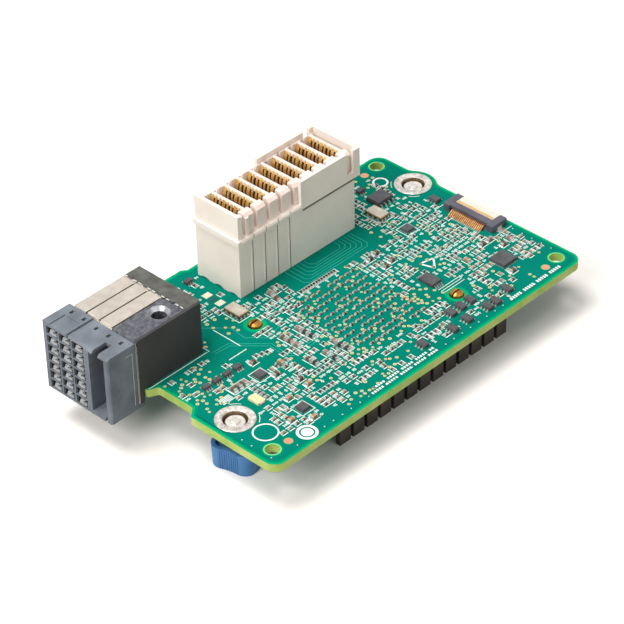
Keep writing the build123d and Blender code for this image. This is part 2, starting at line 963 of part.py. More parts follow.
def power_chip():
    x, y = power_place
    return Pos(x, y, power_height / 2) * Box(power_side, power_side, power_height)


def small_power_chips():
    side = small_power_side
    return group([slab(x - side / 2, x + side / 2, y - side / 2, y + side / 2, 0,
                       small_power_height) for x, y in small_power_places])


def oscillator_bases():
    return group([slab(x - oscillator_width / 2, x + oscillator_width / 2,
                       y - oscillator_length / 2, y + oscillator_length / 2,
                       0, oscillator_height) for x, y in oscillator_places])


def oscillator_lids():
    half_x = oscillator_width / 2 - oscillator_lid_margin
    half_y = oscillator_length / 2 - oscillator_lid_margin
    return group([slab(x - half_x, x + half_x, y - half_y, y + half_y, oscillator_height,
                       oscillator_height + oscillator_lid_height) for x, y in oscillator_places])


def tantalum_capacitor():
    x, y = tantalum_place
    return Pos(x, y, tantalum_height / 2) * Box(tantalum_width, tantalum_length, tantalum_height)


def passives(along_x, along_y, length, width, height):
    found = []
    for x, y in places(along_x):
        found.append(slab(x - length / 2, x + length / 2, y - width / 2, y + width / 2, 0, height))
    for x, y in places(along_y):
        found.append(slab(x - width / 2, x + width / 2, y - length / 2, y + length / 2, 0, height))
    return group(found)


def build_parts():
    parts = {
        "circuit_board": circuit_board(),
        "mezzanine_base": mezzanine_base(),
        "mezzanine_shroud": mezzanine_shroud(),
        "mezzanine_wafers": group([mezzanine_wafer(i) for i in range(mezz_wafers)]),
        "mezzanine_contacts": group([mezzanine_contact(i, j) for i in range(mezz_wafers)
                                     for j in range(contact_count)]),
        "backplane_housing": backplane_housing(),
        "backplane_contacts": group([backplane_contact(y, z) for y, z in cell_places()]),
        "backplane_wafers": group([backplane_wafer(i) for i in range(cell_columns)]),
        "guide_block": guide_block(),
        "side_plate": side_plate(),
        "stiffener": stiffener(),
        "cable_socket": cable_socket(),
        "cable_contacts": group([cable_contact(i) for i in range(cable_contact_count)]),
        "cable_latch": cable_latch(),
        "cable_hold_downs": group([cable_hold_down(side) for side in (-1, 1)]),
        "controller_chip": controller_chip(),
        "thermal_pad": thermal_pad(),
        "heat_sink": heat_sink(),
        "memory_chip": chip_body(memory_place, memory_length, memory_width, memory_height),
        "memory_chip_leads": chip_leads(memory_place, memory_width, memory_height,
                                        memory_lead_pitch, memory_lead_width,
                                        memory_lead_reach),
        "regulator_chip": chip_body(regulator_place, regulator_length, regulator_width,
                                    regulator_height),
        "regulator_chip_leads": chip_leads(regulator_place, regulator_width, regulator_height,
                                           regulator_lead_pitch, regulator_lead_width,
                                           regulator_lead_reach),
        "power_chip": power_chip(),
        "small_power_chips": small_power_chips(),
        "logic_chips": logic_chips(),
        "oscillator_bases": oscillator_bases(),
        "oscillator_lids": oscillator_lids(),
        "tantalum_capacitor": tantalum_capacitor(),
        "large_capacitors": passives(large_rows_along_x, large_rows_along_y, large_length,
                                     large_width, large_height),
        "small_capacitors": passives(small_rows_along_x, [], small_length, small_width,
                                     small_height),
        "small_resistors": passives([], small_rows_along_y, small_length, small_width,
                                    resistor_height),
    }
    for name, (x, y) in zip(("left", "right"), pin_places()):
        parts["push_pin_" + name] = push_pin(x, y)
        parts["pin_spring_" + name] = pin_spring(x, y)
    for name, (x, y) in zip(("front", "rear"), screw_places()):
        parts[name + "_ferrule"] = ferrule(x, y)
        parts[name + "_screw"] = captive_screw(x, y)
        parts[name + "_washer"] = screw_washer(x, y)
        parts[name + "_knob"] = knob(x, y)
    return parts


def write_parts(parts):
    os.makedirs("parts", exist_ok=True)
    boxes = [part.bounding_box() for part in parts.values()]
    middle_x = (min(box.min.X for box in boxes) + max(box.max.X for box in boxes)) / 2
    middle_y = (min(box.min.Y for box in boxes) + max(box.max.Y for box in boxes)) / 2
    for name, part in parts.items():
        export_step(Pos(-middle_x, -middle_y, standing_height) * part, f"parts/{name}.step")
    print("board corner in the part's frame:", -middle_x, -middle_y, standing_height)


write_parts(build_parts())
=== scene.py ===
# %% [markdown]
# # A server's adapter card, dressed for its portrait
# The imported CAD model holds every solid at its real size. This lesson loads it as a fixed frame,
# gives each solid a finish made of shader nodes, and adds what is too fine for CAD: solder, plating,
# printed marks, vias and the small parts' tinned ends. Each step says why it was done that way.

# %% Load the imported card
import math
import random

import bmesh
import bpy
from mathutils import Matrix, Vector


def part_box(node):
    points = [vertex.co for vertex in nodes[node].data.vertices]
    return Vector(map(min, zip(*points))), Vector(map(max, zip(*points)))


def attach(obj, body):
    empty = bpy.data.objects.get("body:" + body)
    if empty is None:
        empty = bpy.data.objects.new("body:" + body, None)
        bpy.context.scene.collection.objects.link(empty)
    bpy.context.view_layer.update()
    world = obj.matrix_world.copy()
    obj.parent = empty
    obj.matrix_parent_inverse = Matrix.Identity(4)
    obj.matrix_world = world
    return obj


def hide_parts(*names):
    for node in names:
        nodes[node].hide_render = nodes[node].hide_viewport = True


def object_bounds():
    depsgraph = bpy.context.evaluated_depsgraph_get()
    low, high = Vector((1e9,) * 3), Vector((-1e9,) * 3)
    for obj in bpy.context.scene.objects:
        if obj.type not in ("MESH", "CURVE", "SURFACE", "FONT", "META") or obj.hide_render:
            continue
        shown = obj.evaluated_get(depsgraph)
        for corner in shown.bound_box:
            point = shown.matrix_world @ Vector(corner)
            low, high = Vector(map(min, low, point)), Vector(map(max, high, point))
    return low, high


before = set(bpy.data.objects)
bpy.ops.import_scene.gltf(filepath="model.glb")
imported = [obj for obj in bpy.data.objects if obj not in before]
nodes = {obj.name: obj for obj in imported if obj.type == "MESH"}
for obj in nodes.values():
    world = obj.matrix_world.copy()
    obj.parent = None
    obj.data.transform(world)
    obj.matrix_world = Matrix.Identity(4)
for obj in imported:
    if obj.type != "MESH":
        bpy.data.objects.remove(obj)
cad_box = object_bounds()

# %% [markdown]
# ## One ruler for the whole card
# Positions on a circuit board are read from a corner of its top face, in millimetres. Blender works
# in metres, and the frame's origin lies under the card, so one helper turns board millimetres into
# scene metres. The corner comes from the board's own box, so nothing is fitted by hand.

# %% Board coordinates
MM = 0.001
board_low, board_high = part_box("circuit_board")
board_corner = Vector((board_low.x, board_low.y, board_high.z))


def on_board(x, y, z=0.0):
    """Board millimetres to scene metres."""
    return board_corner + Vector((x, y, z)) * MM


def in_mm(place):
    """Scene metres to board millimetres."""
    return (place - board_corner) / MM


def box_mm(node):
    """A node's lowest and highest corners, in board millimetres."""
    low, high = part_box(node)
    return in_mm(low), in_mm(high)


UNDER = round(in_mm(board_low).z, 3)
print("board corner at", [round(v, 4) for v in board_corner], "underside at", UNDER)

# %% [markdown]
# ## The camera
# The photograph was taken with a long lens from the front left corner, looking down by about 37
# degrees. The board's straight edges fix the camera: its three axes and its place were worked out
# from them, and are written here as rows of a rotation matrix. A 154 mm lens on a 36 mm sensor gives
# the same perspective.

# %% Camera at the photograph's view
CAMERA_PLACE = (-293.10, -301.24, 354.91)
CAMERA_RIGHT = (0.69197273, -0.72165211, -0.01979826)
CAMERA_DOWN = (-0.44389526, -0.40369166, -0.79999378)
CAMERA_FORWARD = (0.56932481, 0.56236224, -0.59968156)
CAMERA_LENS = 154.08

scene = bpy.context.scene
camera_data = bpy.data.cameras.new("product_camera")
camera_data.lens = CAMERA_LENS
camera_data.sensor_width = 36.0
camera_data.clip_start = 0.01
camera_data.clip_end = 20.0
camera = bpy.data.objects.new("product_camera", camera_data)
scene.collection.objects.link(camera)
turn = Matrix((CAMERA_RIGHT, [-v for v in CAMERA_DOWN], [-v for v in CAMERA_FORWARD])).transposed()
camera.matrix_world = Matrix.Translation(on_board(*CAMERA_PLACE)) @ turn.to_4x4()
scene.camera = camera
print("camera at", [round(v, 3) for v in camera.location], "lens", camera_data.lens)

# %% [markdown]
# ## Studio light
# The card is lit like a product on a white sweep. A large soft lamp hangs over it and throws the
# shadow to the lower right, a second one from the left brightens the faces that look that way, and a
# weak one from the front opens the shaded faces. Large lamps give soft shadow edges. The world adds
# an even grey light, and shows as white only to the camera and to mirrors.

# %% Lamps
scene.view_settings.view_transform = "Standard"
aim = on_board(45, 30)
# Each lamp's place and size in metres, and its watts
LAMPS = {
    "key_lamp": ((-0.18, 0.22, 0.84), 0.45, 6.8),
    "side_lamp": ((-0.72, -0.06, 0.56), 0.45, 5.6),
    "fill_lamp": ((0.10, -0.75, 0.40), 0.70, 1.3),
}
for name, (place, size, watts) in LAMPS.items():
    data = bpy.data.lights.new(name, "AREA")
    data.shape, data.size, data.energy = "SQUARE", size, watts
    lamp = bpy.data.objects.new(name, data)
    scene.collection.objects.link(lamp)
    lamp.location = place
    lamp.rotation_mode = "QUATERNION"
    lamp.rotation_quaternion = (aim - lamp.location).to_track_quat("-Z", "Y")
print("lamps:", list(LAMPS))


# %% [markdown]
# ## The white sweep
# The floor has to look white and still keep the card's shadow. Near the card it is matt and takes
# light and shadow like paper. Further out it fades into plain white for the camera alone, as a
# paper sweep does behind a product, so the horizon never turns grey and no more light reaches the
# card. Materials are networks of nodes, so the step starts with a short way to write them down.

# %% A helper for shader nodes
def add_node(tree, kind, values=None, **settings):
    """A shader node; each value is a number, a colour or another node's output."""
    node = tree.nodes.new("ShaderNode" + kind)
    for name, setting in settings.items():
        setattr(node, name, setting)
    for socket, value in (values or {}).items():
        if isinstance(value, bpy.types.NodeSocket):
            tree.links.new(value, node.inputs[socket])
        else:
            node.inputs[socket].default_value = value
    return node


def add_math(tree, operation, *values, **settings):
    """The output of a math node."""
    node = add_node(tree, "Math", dict(enumerate(values)), operation=operation, **settings)
    return node.outputs[0]


def seen_directly(tree):
    """1 for rays from the camera, from mirrors and through glass, and 0 for diffuse light."""
    rays = add_node(tree, "LightPath").outputs
    either = add_math(tree, "MAXIMUM", rays["Is Camera Ray"], rays["Is Glossy Ray"])
    return add_math(tree, "MAXIMUM", either, rays["Is Transmission Ray"])


# %% World
AMBIENT = 0.24
WHITE = (1.0, 1.0, 1.0, 1.0)
world = bpy.data.worlds.new("white_sweep")
world.use_nodes = True
scene.world = world
sky = world.node_tree
strength = add_node(sky, "MapRange", {"Value": seen_directly(sky), "To Min": AMBIENT,
                                      "To Max": 1.0})
background = sky.nodes["Background"]
background.inputs["Color"].default_value = WHITE
sky.links.new(strength.outputs["Result"], background.inputs["Strength"])
print("ambient light:", AMBIENT)

# %% Floor
FLOOR_HALF = 1.5
PAPER_SEEN, PAPER_LIT = (0.93, 0.885, 0.835, 1.0), (0.50, 0.48, 0.45, 1.0)
LIFT_COLOUR, FLOOR_LIFT = (1.0, 0.985, 0.96, 1.0), 0.02
NEAR, FAR = 0.2, 0.45
SQUARE = ((0, 0), (1, 0), (1, 1), (0, 1))

floor_z = cad_box[0].z
floor_mesh = bpy.data.meshes.new("floor")
floor_mesh.from_pydata([((2 * u - 1) * FLOOR_HALF, (2 * v - 1) * FLOOR_HALF, floor_z)
                        for u, v in SQUARE], [], [(0, 1, 2, 3)])
floor = bpy.data.objects.new("floor", floor_mesh)
scene.collection.objects.link(floor)
floor_paint = bpy.data.materials.new("floor_paint")
floor_paint.use_nodes = True
tree = floor_paint.node_tree
tree.nodes.clear()
seen = seen_directly(tree)
shade = add_node(tree, "Mix", {0: seen, 6: PAPER_LIT, 7: PAPER_SEEN}, data_type="RGBA")
matt = add_node(tree, "BsdfDiffuse", {"Color": shade.outputs[2]})
lift = add_node(tree, "Emission", {"Color": LIFT_COLOUR,
                                   "Strength": add_math(tree, "MULTIPLY", seen, FLOOR_LIFT)})
paper = add_node(tree, "AddShader", {0: matt.outputs[0], 1: lift.outputs[0]})
place = add_node(tree, "TexCoord").outputs["Object"]
distance = add_node(tree, "VectorMath", {0: place}, operation="LENGTH").outputs["Value"]
fade = add_node(tree, "MapRange", {"Value": distance, "From Min": NEAR, "From Max": FAR})
far_seen = add_math(tree, "MULTIPLY", fade.outputs["Result"], seen)
plain_white = add_node(tree, "Emission", {"Color": WHITE, "Strength": 1.0})
sweep = add_node(tree, "MixShader", {0: far_seen, 1: paper.outputs[0], 2: plain_white.outputs[0]})
add_node(tree, "OutputMaterial", {"Surface": sweep.outputs[0]})
floor_mesh.materials.append(floor_paint)
print("floor at z =", round(floor_z, 4))

# %% [markdown]
# ## Shader groups
# Several finishes share the same two effects: a faint unevenness of colour, which stops a surface
# from looking like flat paint, and a fine grain that scatters its highlights. Each is built once as
# a node group. They read the piece's own coordinates, so the pattern sticks to the piece when a
# joint moves it, and they work in millimetres, so the numbers are real sizes.

# %% A helper for node groups
FLOAT, COLOUR, VECTOR = "NodeSocketFloat", "NodeSocketColor", "NodeSocketVector"
GREY = (0.5, 0.5, 0.5, 1.0)


def new_group(name, inputs, outputs):
    """A shader node group with named sockets: the group, what it is given and what it returns."""
    group = bpy.data.node_groups.new(name, "ShaderNodeTree")
    for label, kind, value in inputs:
        socket = group.interface.new_socket(name=label, in_out="INPUT", socket_type=kind)
        socket.default_value = value
    for label, kind in outputs:
        group.interface.new_socket(name=label, in_out="OUTPUT", socket_type=kind)
    given = group.nodes.new("NodeGroupInput").outputs
    return group, given, group.nodes.new("NodeGroupOutput").inputs


def own_millimetres(group):
    """The piece's own coordinates in millimetres."""
    place = add_node(group, "TexCoord").outputs["Object"]
    scale = add_node(group, "VectorMath", {0: place, 1: (1 / MM,) * 3}, operation="MULTIPLY")
    return scale.outputs["Vector"]


# %% The colour group
def build_mottle():
    """Blends two colours by a soft noise, with a finer speckle on top."""
    group, given, result = new_group(
        "mottle",
        [("Colour A", COLOUR, GREY), ("Colour B", COLOUR, GREY), ("Patch Scale", FLOAT, 0.3),
         ("Speck Scale", FLOAT, 4.0), ("Speck", FLOAT, 0.1)],
        [("Colour", COLOUR)])
    place = own_millimetres(group)
    patch, speck = [
        add_node(group, "TexNoise", {"Vector": place, "Scale": given[scale], "Detail": detail})
        for scale, detail in (("Patch Scale", 3.0), ("Speck Scale", 2.0))]
    spread = add_node(group, "MapRange",
                      {"Value": patch.outputs["Fac"], "From Min": 0.3, "From Max": 0.7})
    centred = add_math(group, "SUBTRACT", speck.outputs["Fac"], 0.5)
    fine = add_math(group, "MULTIPLY_ADD", centred, given["Speck"], spread.outputs["Result"],
                    use_clamp=True)
    mix = add_node(group, "Mix", {0: fine, 6: given["Colour A"], 7: given["Colour B"]},
                   data_type="RGBA")
    group.links.new(mix.outputs[2], result["Colour"])
    return group


mottle_group = build_mottle()
print("group:", mottle_group.name)

# %% The grain group
BUMP_HEIGHT = 0.02


def build_grain():
    """A fine bump, with a longer wave under it, as on moulded plastic or rolled metal."""
    group, given, result = new_group(
        "grain",
        [("Scale", FLOAT, 5.0), ("Depth", FLOAT, 0.1), ("Stretch", VECTOR, (1.0, 1.0, 1.0))],
        [("Normal", VECTOR), ("Height", FLOAT)])
    stretched = add_node(group, "VectorMath", {0: own_millimetres(group), 1: given["Stretch"]},
                         operation="MULTIPLY")
    height = add_node(group, "TexNoise", {"Vector": stretched.outputs["Vector"],
                                          "Scale": given["Scale"], "Detail": 4.0}).outputs["Fac"]
    bump = add_node(group, "Bump", {"Distance": BUMP_HEIGHT * MM, "Height": height,
                                    "Strength": given["Depth"]})
    group.links.new(bump.outputs["Normal"], result["Normal"])
    group.links.new(height, result["Height"])
    return group


grain_group = build_grain()
print("group:", grain_group.name)


# %% [markdown]
# ## A maker of finishes
# Every finish is the same small tree: the colour group feeds Base Color, the grain group feeds
# Normal, and its height breaks up the roughness. What is the same all over, such as how metallic
# it is, is set on the shader's own socket. Colours are written as the eye sees them and turned into
# the linear values that Blender renders with.

# %% Colours and the finish helper
def paint(code):
    """A colour as written on screen, such as 4A7DBE, in linear light."""
    values = [int(code[i:i + 2], 16) / 255 for i in (0, 2, 4)]
    linear = [v / 12.92 if v <= 0.04045 else ((v + 0.055) / 1.055) ** 2.4 for v in values]
    return (*linear, 1.0)


ROUGH_SPREAD = 0.12
finishes = {}


def finish(name, light, dark, roughness, metallic=0.0, patch=0.3, speck_scale=4.0, speck=0.3,
           grain=6.0, depth=0.15, stretch=(1.0, 1.0, 1.0), specular=0.5, ior=1.5):
    """A material from the two groups and a Principled shader."""
    material = bpy.data.materials.new(name)
    material.use_nodes = True
    tree = material.node_tree
    colour = add_node(tree, "Group", {
        "Colour A": paint(light), "Colour B": paint(dark), "Patch Scale": patch,
        "Speck Scale": speck_scale, "Speck": speck}, node_tree=mottle_group).outputs
    texture = add_node(tree, "Group", {"Scale": grain, "Depth": depth, "Stretch": stretch},
                       node_tree=grain_group).outputs
    rough = add_node(tree, "MapRange", {"Value": texture["Height"],
                                        "To Min": max(0.02, roughness - ROUGH_SPREAD),
                                        "To Max": min(1.0, roughness + ROUGH_SPREAD)}).outputs
    shader = tree.nodes["Principled BSDF"].inputs
    tree.links.new(colour["Colour"], shader["Base Color"])
    tree.links.new(texture["Normal"], shader["Normal"])
    tree.links.new(rough["Result"], shader["Roughness"])
    shader["Metallic"].default_value = metallic
    shader["Specular IOR Level"].default_value = specular
    shader["IOR"].default_value = ior
    finishes[name] = material


# %% [markdown]
# ## The finishes
# Solder mask is a green lacquer over copper: darker where copper lies under it, and brighter at the
# board's rim, where there is none. The connectors are liquid-crystal polymer, ivory with a pink
# tinge inside. The rest is gold plate, tin, zinc casting, brushed steel, anodised aluminium and
# black epoxy, each with the unevenness that the photograph shows.

# %% Board and print
LACQUER = {"roughness": 0.4, "ior": 1.12}
finish("mask_rim", "06A56E", "029A66", patch=0.12, speck=0.2, specular=0.1, **LACQUER)
finish("mask_middle", "028868", "008062", patch=0.12, speck=0.2, specular=0.1, **LACQUER)
finish("mask_pour", "037A69", "037361", patch=0.08, specular=0.1, **LACQUER)
finish("mask_trace", "3CA996", "309C89", **LACQUER)
finish("mask_dark", "1D6A60", "175A52", **LACQUER)
finish("bare_pad", "E2DFC8", "CFCBB2", 0.45, metallic=0.15, patch=1.0)
finish("laminate", "BCC874", "96B452", 0.55, patch=0.2, speck=0.5, specular=0.3)
finish("rim_glow", "86D68C", "6CC77E", 0.5, patch=0.8, specular=0.2)
finish("print_white", "F2F4EF", "DDE5DC", 0.6, patch=1.5, speck=0.6)
finish("via_gold", "E2D49C", "C8B67C", 0.42, metallic=0.2, patch=2.0)
finish("via_centre", "8FA07C", "6E8A6C", 0.5)
finish("bare_copper", "E39878", "D98A6C", 0.42, metallic=0.25)

# %% Metals
finish("solder", "E4E3DE", "B9B8B2", 0.28, metallic=0.75, patch=1.6, speck=0.5, depth=0.5)
finish("tin", "DAD8D2", "A9A7A1", 0.30, metallic=0.85, patch=1.2, speck=0.4)
finish("gold", "FFDC92", "E8B35E", 0.27, metallic=0.8, patch=1.0)
# Dark brown gold: painted shade on the lower, shaded part of the tall connector's contacts
finish("gold_deep", "8A5A22", "5A3712", 0.4, metallic=0.5, patch=1.0)
finish("gilt", "E0A860", "B98040", 0.3, metallic=0.8)
finish("contact_copper", "C9935C", "94602F", 0.4, metallic=0.5, patch=1.0)
finish("brass", "D39A4E", "8C5C24", 0.34, metallic=0.8, patch=0.8, speck=0.8)
# Pale metal for the stiffener's pale tabs, and painted highlights along the side plate's and
# housing's edges
finish("bright_edge", "DFDFDC", "BDBDBA", 0.3, metallic=0.5, patch=1.5)
finish("zinc", "74757C", "48494F", 0.34, metallic=0.6, patch=0.9, speck_scale=3.0, speck=1.6,
       depth=0.4)
finish("zinc_light", "B4B4B8", "8C8C92", 0.32, metallic=0.6, patch=0.6)
finish("steel_plate", "74746F", "55544D", 0.33, metallic=0.8, patch=0.35, speck=0.9, grain=8.0,
       stretch=(0.15, 3.0, 3.0))
finish("steel", "BDB9B2", "8F8A82", 0.3, metallic=0.85, patch=0.8, speck=0.8)
finish("bore_brown", "8A7452", "5E4A2C", 0.35, metallic=0.5, patch=1.0)
finish("screw_silver", "ECE8E0", "CFC9BE", 0.28, metallic=0.75, patch=0.8, speck=0.6)
finish("ferrule_rim", "E6E1DA", "A9A199", 0.42, metallic=0.6, patch=1.1, speck_scale=5.0,
       speck=1.8, depth=0.8)
finish("lid_grey", "D5CDC0", "B9AFA0", 0.38, metallic=0.35, patch=0.5)
finish("anodised", "4A443E", "35302B", 0.46, metallic=0.35, patch=0.15, speck=0.4,
       stretch=(0.3, 0.3, 4.0))

# %% Plastics and ceramics
finish("ivory", "F1E7DC", "E9DCD0", 0.5, patch=0.12, speck=0.15, depth=0.1, specular=0.2)
finish("ivory_pink", "F0E3D9", "E6D0C6", 0.55, patch=0.25, speck=0.2, specular=0.2)
finish("wafer_ivory", "CBC2B7", "BAB0A4", 0.33, metallic=0.5, patch=0.5, speck=0.6,
       stretch=(0.2, 3.0, 3.0), specular=0.3)
# Dark brown: painted shade in the wells behind the tall connector's contacts
finish("well_brown", "4A2C16", "321C0D", 0.6, specular=0.1)
# Greyish brown: the paler lower edge of the painted shadow under the tall connector's overhang
finish("fold_shadow", "9A9284", "8B8477", 0.6, specular=0.1)
# Dark brown for seams too narrow to render, and for painted shadow and painted shade elsewhere
finish("gap_dark", "4A3E33", "2E2721", 0.6, specular=0.1)
finish("grey_housing", "7C828A", "666C73", 0.45, patch=0.2, speck=0.2, depth=0.12, specular=0.03)
finish("grey_contact", "A6A7A9", "87898C", 0.4, patch=1.0)
finish("shield_dark", "55585C", "3E4145", 0.4, patch=1.0, specular=0.2)
finish("side_black", "444041", "383536", 0.4, patch=0.08, specular=0.2)
finish("knob_blue", "5788BA", "4878AA", 0.45, patch=0.15, speck=0.2, specular=0.2)
finish("epoxy_black", "565658", "444447", 0.5, patch=0.6, speck=0.6, depth=0.5, specular=0.25)
finish("socket_grey", "5A5763", "45434C", 0.42)
finish("latch_cream", "E9DFCF", "D9CDB9", 0.4, patch=0.4)
finish("tan_part", "D8B27E", "C49A66", 0.45, patch=0.8)
finish("beige_part", "E6D9A8", "D6C691", 0.45, patch=0.6)
finish("pad_grey", "8C8F93", "7B7E82", 0.7)
finish("ceramic_dark", "4A3A30", "2E2723", 0.45)
finish("cap_tan", "B98A60", "9C7048", 0.42, patch=1.5)
finish("cap_brown", "6A4C3C", "523A2E", 0.42, patch=1.5)
finish("cap_mauve", "9A7F78", "80665F", 0.42, patch=1.5)
finish("resistor_black", "2B2B2D", "1E1E20", 0.4, patch=1.5)
print("finishes:", len(finishes))

# %% [markdown]
# ## Finishes on the CAD solids
# A solid whose shape is right keeps its mesh and only gets a finish. Its edges are softened by two
# modifiers: Weld joins the corners that the file format splits, and Bevel rounds what is left sharp,
# so that edges catch the light as real ones do. Modifiers leave the mesh itself alone.

# %% Dress the CAD nodes
# Each node's finish, its slot in the record, and the width of its softened edges in millimetres
DRESSES = {
    "circuit_board": ("laminate", "board", 0),
    "mezzanine_base": ("ivory", "ivory", 0.08),
    "mezzanine_shroud": ("ivory", "ivory", 0.08),
    "mezzanine_wafers": ("ivory_pink", "ivory", 0.05),
    "backplane_housing": ("grey_housing", "grey_plastic", 0.06),
    "backplane_wafers": ("wafer_ivory", "ivory", 0.06),
    "guide_block": ("zinc", "die_cast", 0.05),
    "side_plate": ("side_black", "black_plastic", 0.05),
    "stiffener": ("steel_plate", "dark_steel", 0.04),
    "cable_socket": ("socket_grey", "black_plastic", 0.04),
    "cable_contacts": ("contact_copper", "gold", 0),
    "cable_latch": ("latch_cream", "cream_plastic", 0.05),
    "cable_hold_downs": ("tin", "tin", 0),
    "controller_chip": ("epoxy_black", "chip_black", 0.1),
    "thermal_pad": ("pad_grey", "pad", 0),
    "heat_sink": ("anodised", "anodised", 0.05),
    "memory_chip_leads": ("tin", "tin", 0),
    "regulator_chip_leads": ("tin", "tin", 0),
    "oscillator_bases": ("ceramic_dark", "ceramic_base", 0.05),
    "oscillator_lids": ("lid_grey", "ceramic_lid", 0.05),
    "tantalum_capacitor": ("beige_part", "tantalum", 0.08),
}
for side in ("left", "right"):
    DRESSES["push_pin_" + side] = ("brass", "pin_brass", 0)
for end in ("front", "rear"):
    DRESSES[end + "_washer"] = ("steel", "steel", 0)
    DRESSES[end + "_knob"] = ("knob_blue", "knob_blue", 0.2)

WELD_GAP, BEVEL_ANGLE = 0.002, math.radians(40)
for node, (finish_name, slot, edge) in DRESSES.items():
    piece = nodes[node]
    piece.data.materials.clear()
    piece.data.materials.append(finishes[finish_name])
    if edge:
        piece.modifiers.new("weld", "WELD").merge_threshold = WELD_GAP * MM
        bevel = piece.modifiers.new("bevel", "BEVEL")
        bevel.width = edge * MM
        bevel.segments = 2
        bevel.limit_method = "ANGLE"
        bevel.angle_limit = BEVEL_ANGLE
print("dressed CAD nodes:", len(DRESSES))


# %% [markdown]
# ## A collector for fine shapes
# The card carries hundreds of tiny parts. Making an object for each would be slow, so a collector
# gathers points and faces in board millimetres and becomes one object with several finishes. Every
# shape that it takes is a closed solid, so the meshes are good for more than this picture.

# %% Outlines
def polar(x, y, radius, angle):
    return x + radius * math.cos(angle), y + radius * math.sin(angle)


def circle(x, y, radius, sides=40):
    return [polar(x, y, radius, 2 * math.pi * i / sides) for i in range(sides)]


def rectangle(x0, y0, x1, y1):
    return [(x1 if u else x0, y1 if v else y0) for u, v in SQUARE]


def insert(pair, axis, value):
    """Three numbers: a pair, with a value put in at an axis."""
    return (*pair[:axis], value, *pair[axis:])


def add_piece(name, mesh, body="card"):
    """Puts a mesh into the scene as a piece that rides on a body."""
    piece = bpy.data.objects.new(name, mesh)
    scene.collection.objects.link(piece)
    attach(piece, body)
    print(name, "faces:", len(mesh.polygons))
    return piece


# %% The collector
CORNERS = [(i, j, k) for i in (0, 1) for j in (0, 1) for k in (0, 1)]
SMOOTH_BELOW = math.radians(32)


